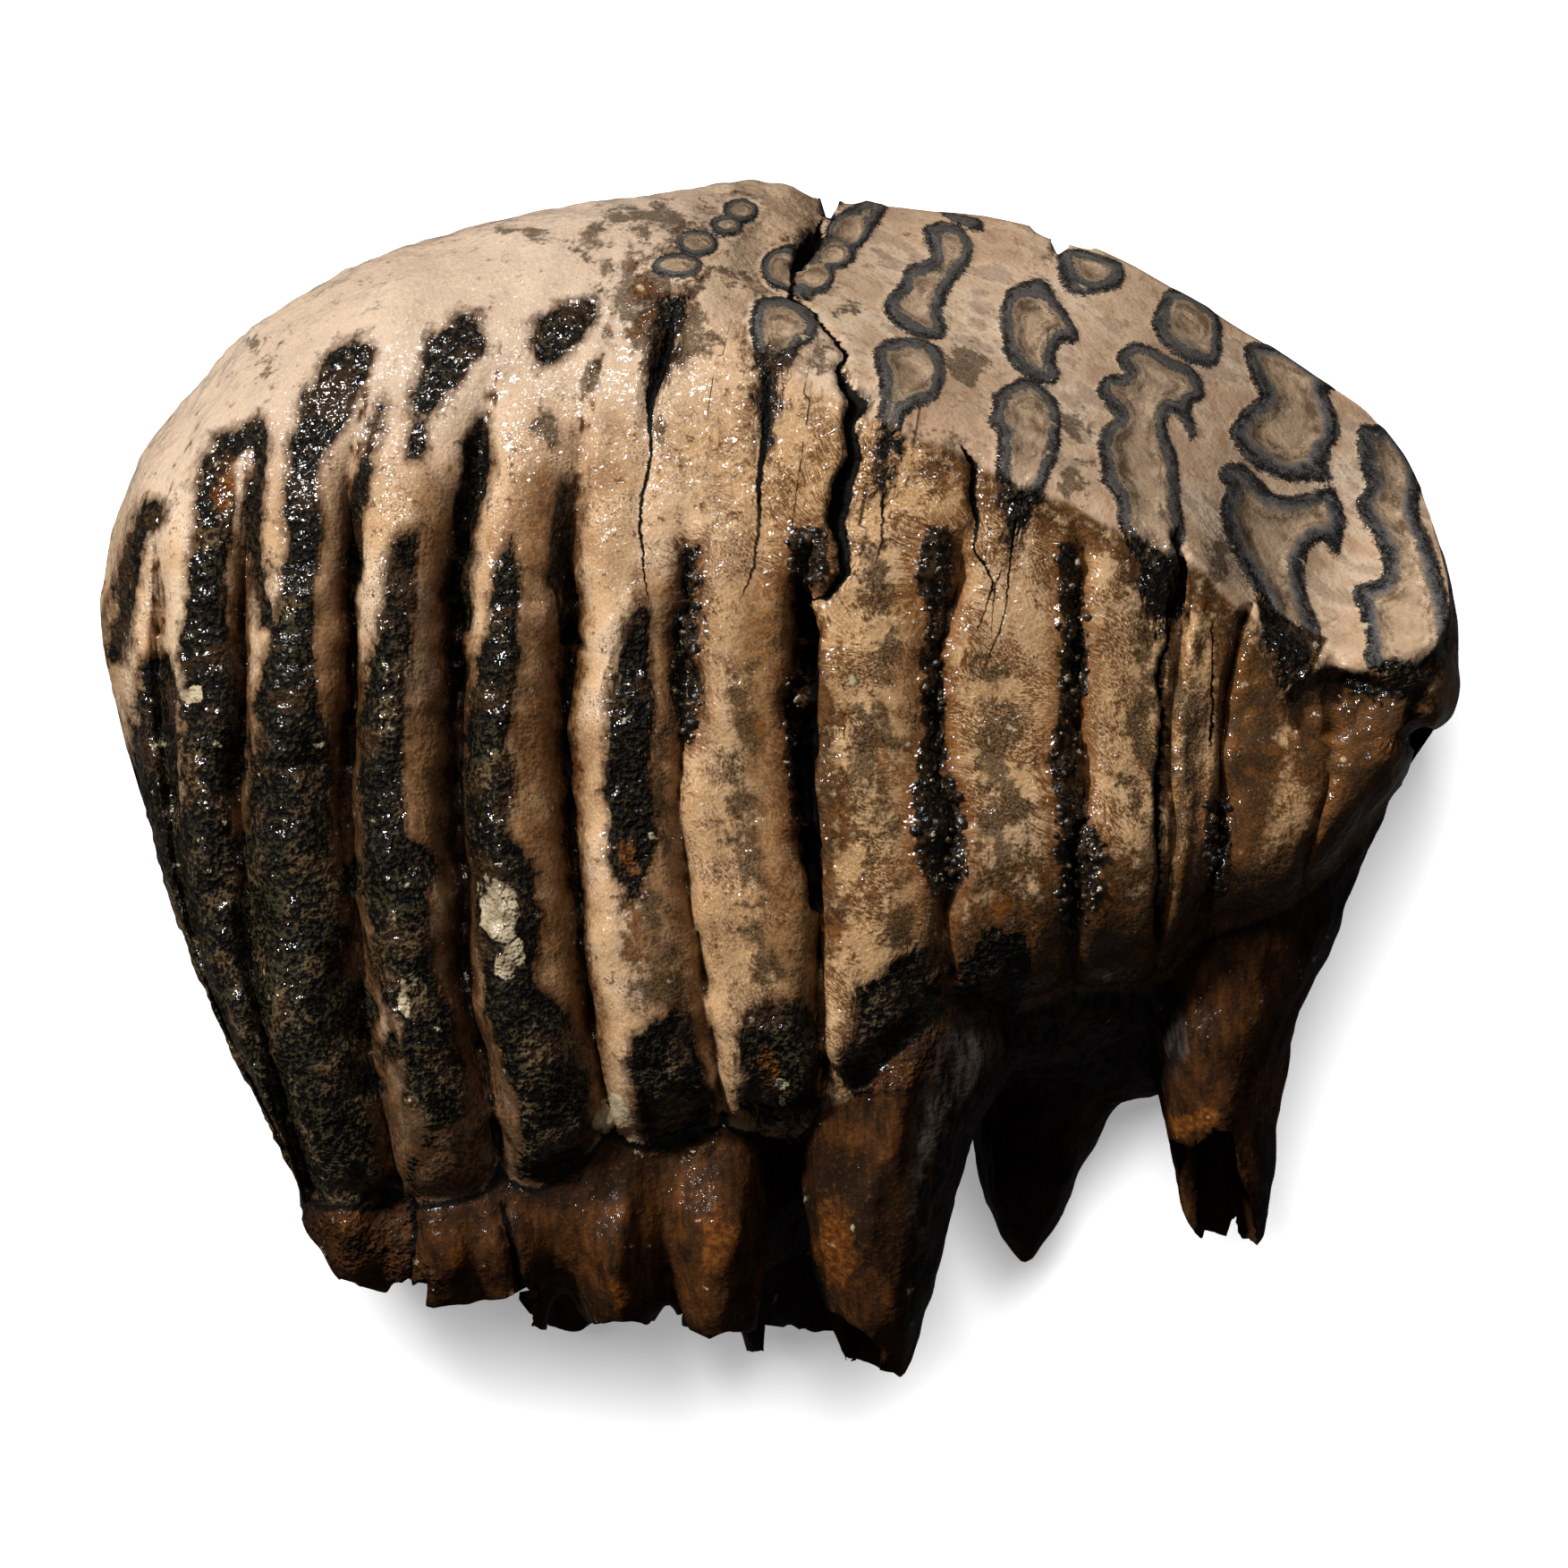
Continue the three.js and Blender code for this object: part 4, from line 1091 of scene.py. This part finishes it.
def tan_cement(n):
    """Tan, paler at the top, browner and hairier towards the front."""
    cement = n.ramp(n.sum(n.times(n.broad, 0.5), n.times(n.patchy, 0.5)), [
        (0.15, "9a7350"), (0.42, "bd9870"), (0.6, "cba885"), (0.85, "d9bc9c")])
    crest = n.step(n.along, *CREST)
    cement = n.mixed(n.times(crest, 0.75), cement, "bca794")
    cement = n.mixed(n.times(n.woolly, 0.6), cement, "b78b5a")
    cement = n.mixed(n.times(n.step(n.frayed(n.patchy, 0.7), 0.35, 0.8), n.times(n.woolly, 0.7)),
                     cement, "82521f")
    cement = n.mixed(n.times(n.step(n.fine, 0.5, 0.66), 0.35), cement, "e6caa8")
    furry = n.times(n.step(n.hairs, 0.48, 0.57), n.scaled(n.woolly, 0.75, 0.05))
    furry = n.without(n.times(furry, n.step(n.sum(n.patchy, n.uneven), 0.1, 0.6)), n.times(crest, 0.9))
    cement = n.mixed(furry, cement, "57320f")
    cement = n.mixed(n.times(n.times(n.step(n.hairs, 0.47, 0.36), n.woolly), 0.6), cement, "dcb988")
    rusty = n.times(n.step(n.grainy, 0.54, 0.64), n.times(n.step(n.lumpy, 0.5, 0.85), 0.7))
    cement = n.mixed(n.without(rusty, crest), cement, "6e4222")
    pores = n.minus(0.62, n.sum(n.fine, n.times(n.grainy, 0.4)))
    pores = n.without(n.times(n.step(pores, 0.0, 0.06), n.step(n.patchy, 0.4, 0.75)), crest)
    cement = n.mixed(n.times(pores, 0.7), cement, "43240f")
    # Painted shade: brown down the flanks towards the grooves, standing in for the half shadow there
    shaded = n.times(n.step(n.patched(n.flank_shade, 0.45), 0.2, 1.0), 0.72)
    cement = n.mixed(shaded, cement, n.mixed(n.step(n.grainy, 0.42, 0.6), "5c3716", "94673a"))
    rust = n.times(n.step(n.sum(n.grit, n.swing(n.hairs, 4.0)), -2.2, 0.2), 0.85)
    cement = n.mixed(rust, cement, "6a3d17")
    # Painted shade in the grooves: brown where they run deep, near black where deepest; the seams take a
    # thin line of the same
    groove_shade = n.patched(n.groove, 0.5)
    cement = n.mixed(n.step(groove_shade, 0.12, 0.45), cement, "5c3b1c")
    cement = n.mixed(n.step(groove_shade, 0.36, 0.6), cement, "120a05")
    soiled = n.times(n.step(n.patched(n.mottled, 0.6), 0.1, 0.8), 0.88)
    cement = n.mixed(soiled, cement, n.mixed(n.step(n.grainy, 0.42, 0.6), "33261a", "775336"))
    cement = n.mixed(n.veil, cement, n.mixed(n.step(n.fine, 0.42, 0.6), "241a11", "5e4a30"))
    stained = n.step(n.frayed(n.brown, 1.3), -0.7, 0.8)
    shine = n.mixed(n.step(n.sum(n.hairs, n.times(n.lumpy, 0.2)), 0.52, 0.74), "281608", "6e441d")
    return n.mixed(n.times(stained, 0.92), cement, shine)


def over_black_enamel(n, cement):
    """Black enamel where the cement is gone, with a brown fringe, and dirt between the grains."""
    ragged = n.scaled(n.woolly, 5.0, 0.9)
    bare = n.sum(n.dark, n.sum(n.swing(n.fibres, ragged), n.times(n.uneven, 0.5)))
    black_part = n.step(bare, -0.12, 0.12)
    fringe = n.times(n.step(bare, -1.1, 0.05), 0.85)
    crust = n.sum(n.grainy, n.times(n.fine, 0.4))
    black = n.ramp(n.sum(crust, n.swing(n.patchy, 0.1)), [
        (0.6, "070504"), (0.72, "130f09"), (0.8, "231c11"), (0.88, "3f321d")])
    black = n.mixed(n.times(n.step(n.frayed(n.patchy, 0.5), 0.62, 0.9), 0.7), black, "33200f")
    flecks = n.step(n.sum(n.grainy, n.sum(n.times(n.lumpy, 0.12), n.times(n.mottled, 0.08))), 0.6, 0.7)
    flecks = n.times(flecks, n.scaled(n.mottled, 0.6, 0.2))
    black = n.mixed(flecks, black, n.mixed(n.step(n.patchy, 0.4, 0.8), "38331f", "6a573b"))
    skin = n.mixed(fringe, cement, "452b15")
    skin = n.mixed(black_part, skin, black)
    gritty = n.step(n.frayed(n.grit, 0.7), -0.2, 0.12)
    return n.mixed(gritty, skin, n.mixed(n.step(n.grainy, 0.44, 0.62), "090603", "36240f"))


def worn_face(n):
    """The worn face's cement, with its enamel loops and their cores."""
    face = n.ramp(n.sum(n.times(n.broad, 0.5), n.times(n.patchy, 0.5)), [
        (0.2, "b8977a"), (0.5, "cfb091"), (0.8, "dcc3a8")])
    face = n.mixed(n.times(n.step(n.frayed(n.lumpy, 0.6), 0.7, 1.1), 0.3), face, "9a6a3f")
    face = n.mixed(n.times(n.step(n.frayed(n.patchy, 0.3), 0.6, 0.95), 0.55), face, "96745a")
    face = n.mixed(n.times(n.step(n.fibres, 0.6, 0.72), 0.35), face, "6d4c31")
    face = n.mixed(n.times(n.step(n.grainy, 0.56, 0.7), 0.4), face, "9a7960")
    face = n.mixed(n.veil, face, n.mixed(n.step(n.fine, 0.42, 0.6), "2c2219", "705b44"))
    crimp = n.sum(n.swing(n.fine, 0.7), n.swing(n.grainy, 0.6))
    loop = n.sum(n.enamel, crimp)
    wide = n.scaled(n.sum(loop, n.swing(n.lumpy, 0.35)), 0.25, 0.125)
    grey_band = n.ramp(wide, [
        (0.06, "8c6b4c"), (0.1, "2c241d"), (0.125, "151312"), (0.2, "1e1b1a"), (0.235, "413d3b"),
        (0.31, "56514d"), (0.36, "3a3532"), (0.385, "7f6d58"), (0.41, "a58c6c"), (0.44, "8a735c")])
    black_band = n.ramp(wide, [
        (0.06, "8c6b4c"), (0.1, "2a211b"), (0.125, "0d0c0d"), (0.25, "141315"), (0.31, "2f2e30"),
        (0.36, "514f4f"), (0.42, "6e6660"), (0.48, "8a7762")])
    band = n.mixed(n.step(n.across, *BLACK_LOOPS), grey_band, black_band)
    rings = n.add("CombineXYZ", {0: n.times(loop, 3.0), 1: n.times(n.along, 0.4), 2: n.times(n.across, 0.4)})
    grown_lines = n.noise(rings, 1.3, 2, 0.6)
    band = n.mixed(n.times(n.step(n.sum(n.patchy, n.uneven), 0.55, 1.0), 0.55), band, "1f1c1a")
    band = n.mixed(n.times(n.step(grown_lines, 0.5, 0.62), 0.45), band, "76706a")
    band = n.mixed(n.times(n.step(n.fine, 0.5, 0.62), 0.2), band, "7c756e")
    core = n.ramp(n.sum(grown_lines, n.swing(n.patchy, 0.25)), [
        (0.34, "65503d"), (0.44, "8c745d"), (0.56, "ab9075"), (0.68, "c3a88a")])
    core = n.mixed(n.times(n.step(n.sum(loop, n.times(n.lumpy, 0.8)), 2.2, 3.4), 0.7), core, "bd9f80")
    inner = n.mixed(n.step(loop, 1.15, 1.35), band, core)
    inner = n.mixed(n.step(n.across, *BLACK_LOOPS), inner, n.mixed(n.step(loop, 1.3, 1.6), band, core))
    return n.mixed(n.step(loop, -0.22, -0.06), face, inner)


def root_bark(n):
    """Brown bark in flutes, dark and fibrous on the front flange and on the arched underside between the
    roots, where the grey is painted paler as painted light in the shade.
    """
    flutes = n.noise(n.stretched(n.place, (1.0, 0.3, 1.0)), 1.3, 3, 0.6)
    bark = n.ramp(n.sum(flutes, n.swing(n.patchy, 0.2)), [
        (0.3, "22130a"), (0.48, "38210f"), (0.6, "472911"), (0.75, "5a3616")])
    bark = n.mixed(n.times(n.step(n.broad, 0.5, 0.8), 0.7), bark, "1a1009")
    bark = n.mixed(n.times(n.step(n.grainy, 0.58, 0.68), 0.25), bark, "6e4d28")
    ashes = n.mixed(n.step(flutes, 0.4, 0.65), "1b1613", "3a322c")
    bark = n.mixed(n.times(n.step(n.frayed(n.ashen, 0.3), 0.2, 0.9), 0.85), bark, ashes)
    # Between the roots the grey is painted a little paler: painted light in the shade there
    ashes = n.mixed(n.step(flutes, 0.4, 0.62), "1d1815", "463f39")
    return n.mixed(n.times(n.step(n.frayed(n.arch, 0.3), 0.2, 0.9), 0.9), bark, ashes)


def with_spots(n, skin):
    """Pale and amber places."""
    pale_part = n.step(n.sum(n.pale, n.sum(n.swing(n.lumpy, 0.5), n.times(n.uneven, 0.3))), 0.42, 0.6)
    skin = n.mixed(n.times(pale_part, 0.85), skin, n.mixed(n.step(n.lumpy, 0.1, 0.8), "8e7a5f", "c4b292"))
    amber_part = n.step(n.sum(n.amber, n.sum(n.swing(n.fibres, 1.2), n.times(n.uneven, 0.3))), 0.2, 1.2)
    skin = n.mixed(n.times(amber_part, 0.6), skin, n.mixed(n.step(n.grainy, 0.4, 0.64), "6a3814", "93581f"))
    return skin


def with_cracks(n, skin):
    """Cracks, ragged, black inside with painted shade, and how far they and their sides keep the skin dry.
    """
    off = n.add("Math", {0: n.sum(n.crack, n.swing(n.grainy, 0.5))}, operation="ABSOLUTE")
    beyond = n.minus(off, n.crack_half)
    gap = n.times(n.times(n.step(beyond, 0.06, -0.06), n.crack_near), n.step(n.crack_half, 0.01, 0.05))
    beside = n.step(beyond, 0.9, 0.0)
    beside = n.times(n.times(beside, n.step(n.crack_half, 0.15, 0.5)), n.step(n.fibres, 0.4, 0.54))
    skin = n.mixed(n.times(beside, 0.9), skin, "24150a")
    # Painted shade: black inside the open cracks
    skin = n.mixed(gap, skin, "030201")
    return skin, n.most(gap, n.times(beside, 0.7))


def varnished_tooth():
    n = ToothNodes()
    skin = over_black_enamel(n, tan_cement(n))
    skin = n.mixed(n.step(n.frayed(n.worn, 0.3), 0.15, 0.85), skin, worn_face(n))

    # A black line where the crown's foot steps up from the roots
    rooty = n.frayed(n.root, 0.1)
    skin = n.mixed(n.without(n.step(rooty, 0.02, 0.12), n.front), skin, "0b0805")
    skin = n.mixed(n.step(rooty, 0.25, 0.6), skin, root_bark(n))
    skin, dry = with_cracks(n, with_spots(n, skin))

    # Relief, in millimetres: the skin's own, and that of the varnish over it
    relief = n.times(n.noise(n.place, 1.8, 1, 0.65), n.pitting)
    bumped = n.add("Bump", {"Strength": 1.0, "Distance": MM, "Height": relief})
    ripples = n.times(n.sum(n.noise(n.place, 1.25, 0), n.times(n.noise(n.place, 3.4, 0), 0.22)), n.film)
    filmed = n.add("Bump", {"Strength": 1.0, "Distance": MM, "Height": ripples})

    n.give(n.shader.inputs["Base Color"], skin)
    n.give(n.shader.inputs["Coat Weight"], n.without(n.wet, dry))
    n.shader.inputs["Roughness"].default_value = 0.6
    n.shader.inputs["Specular IOR Level"].default_value = 0.06
    n.shader.inputs["Coat Roughness"].default_value = 0.06
    n.shader.inputs["Coat IOR"].default_value = 1.5
    n.give(n.shader.inputs["Normal"], bumped)
    n.give(n.shader.inputs["Coat Normal"], filmed)
    return n.material


tooth.data.materials.clear()
tooth.data.materials.append(varnished_tooth())


# The grains
def grains():
    """Small stones stuck in the grooves, as one mesh."""
    bm = bmesh.new()
    bmesh.ops.create_uvsphere(bm, u_segments=8, v_segments=5, radius=1)
    one = np.array([v.co for v in bm.verts])
    grain, corner = bm.verts.layers.int.new("grain"), bm.verts.layers.int.new("corner")
    for n, v in enumerate(bm.verts):
        v[corner] = n
    for n in range(GRAIN_DOUBLINGS):
        made = bmesh.ops.duplicate(bm, geom=bm.verts[:] + bm.edges[:] + bm.faces[:])["geom"]
        for v in made:
            if isinstance(v, bmesh.types.BMVert):
                v[grain] += 2**n
    which = np.array([(v[grain], v[corner]) for v in bm.verts]).T
    piece = placed("grains", bm)

    random = np.random.default_rng(5)
    count = 2**GRAIN_DOUBLINGS
    mesh = tooth.data
    flat = np.empty(len(mesh.vertices) * 3)
    mesh.attributes["edges"].data.foreach_get("vector", flat)
    points, facing = coordinates(mesh), normals(mesh)
    gritty = flat.reshape(-1, 3)[:, 2] > -0.2
    caught = np.nonzero(gritty & (facing[:, 2] > 0) & (points[:, 2] > MID_HEIGHT))[0]
    chosen = random.choice(caught, count, replace=False)
    size = GRAIN_SIZE * np.minimum(np.exp(random.normal(0, 0.5, count)), 1.9)
    sides = random.uniform(0.6, 1.3, (count, 3)) * size[:, None]
    turns = np.array([Euler(turn).to_matrix() for turn in random.uniform(0, 2 * np.pi, (count, 3))])
    lumpy = 1 + 0.3 * random.uniform(-1, 1, (count, len(one), 1))
    shapes = np.einsum("nij,nvj->nvi", turns, one[None] * lumpy * sides[:, None, :])
    shapes += (points[chosen] - 0.4 * size[:, None] * facing[chosen])[:, None, :]
    piece.data.vertices.foreach_set("co", (shapes[which[0], which[1]] * MM).ravel())
    shade = piece.data.attributes.new("shade", "FLOAT", "POINT")
    shade.data.foreach_set("value", random.uniform(0, 1, count)[which[0]].astype(np.float32))
    piece.data.update()
    piece.data.polygons.foreach_set("use_smooth", [True] * len(piece.data.polygons))
    piece.data.materials.append(wet_grains())
    return piece


def wet_grains():
    n = Nodes("wet grains")
    shade = n.add("Attribute", {}, "Fac", attribute_name="shade")
    place = n.stretched(n.add("TexCoord", {}, "Object"), (1000, 1000, 1000))
    speckle = n.swing(n.noise(place, 3.5, 2), 0.8)
    stone = n.ramp(n.sum(shade, speckle), [
        (0.0, "0a0703"), (0.5, "1e150a"), (0.82, "3a2912"), (0.92, "5a4a32"), (1.0, "a89c88")])
    n.give(n.shader.inputs["Base Color"], stone)
    n.shader.inputs["Roughness"].default_value = 0.5
    n.shader.inputs["Specular IOR Level"].default_value = 0.2
    n.shader.inputs["Coat Weight"].default_value = 1.0
    n.shader.inputs["Coat Roughness"].default_value = 0.1
    n.shader.inputs["Coat IOR"].default_value = 1.5
    bumped = n.add("Bump", {"Strength": 1.0, "Distance": MM, "Height": n.times(speckle, 0.2)})
    n.give(n.shader.inputs["Coat Normal"], bumped)
    return n.material


grit_grains = grains()


# Floor, light, camera
def studio():
    bm = bmesh.new()
    bmesh.ops.create_grid(bm, x_segments=1, y_segments=1, size=1.5)
    bmesh.ops.translate(bm, verts=bm.verts, vec=(0, 0, -0.05 * MM))
    floor = placed("floor", bm)
    paper = bpy.data.materials.new("white paper")
    paper.use_nodes = True
    shader = paper.node_tree.nodes["Principled BSDF"]
    shader.inputs["Base Color"].default_value = (0.93, 0.93, 0.93, 1)
    shader.inputs["Roughness"].default_value = 0.9
    shader.inputs["Specular IOR Level"].default_value = 0.0
    shader.inputs["Emission Color"].default_value = (1, 1, 1, 1)
    shader.inputs["Emission Strength"].default_value = 0.3
    floor.data.materials.append(paper)
    floor.visible_diffuse = False
    floor.visible_glossy = False

    world = bpy.data.worlds.new("studio")
    bpy.context.scene.world = world
    world.use_nodes = True
    sky = world.node_tree.nodes["Background"]
    sky.inputs["Color"].default_value = (1, 1, 1, 1)
    sky.inputs["Strength"].default_value = 0.05

    for name, place, size, power, lit in (
        ("key", (-0.62, 0.57, 0.64), 0.13, 14.5, [tooth, grit_grains]),
        ("second lamp", (-0.14, 0.73, 0.68), 0.17, 2.2, [tooth, grit_grains]),
        ("paper lamp", (-0.1, 0.32, 1.0), 0.6, 27.0, [floor]),
    ):
        light = bpy.data.lights.new(name, "AREA")
        light.size = size
        light.energy = power
        lamp = bpy.data.objects.new(name, light)
        lamp.location = place
        lamp.rotation_euler = (-Vector(place)).to_track_quat("-Z", "Y").to_euler()
        bpy.context.scene.collection.objects.link(lamp)
        lamp.light_linking.receiver_collection = bpy.data.collections.new(name)
        for piece in lit:
            lamp.light_linking.receiver_collection.objects.link(piece)

    lens = bpy.data.cameras.new("camera")
    lens.sensor_width = FILM
    lens.lens = FILM * (CAMERA_HEIGHT - LEVEL) / (PHOTO_SIZE * PHOTO_PIXEL)
    camera = bpy.data.objects.new("camera", lens)
    middle = (PHOTO_CENTRE - PHOTO_MIDDLE) * PHOTO_PIXEL * (1, -1) - PLAN_CENTRE
    camera.location = np.array((*middle, CAMERA_HEIGHT)) * MM
    bpy.context.scene.collection.objects.link(camera)
    bpy.context.scene.camera = camera
    bpy.context.scene.view_settings.view_transform = "Standard"


studio()

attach(tooth, "root")
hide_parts("molar")
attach(grit_grains, "root")
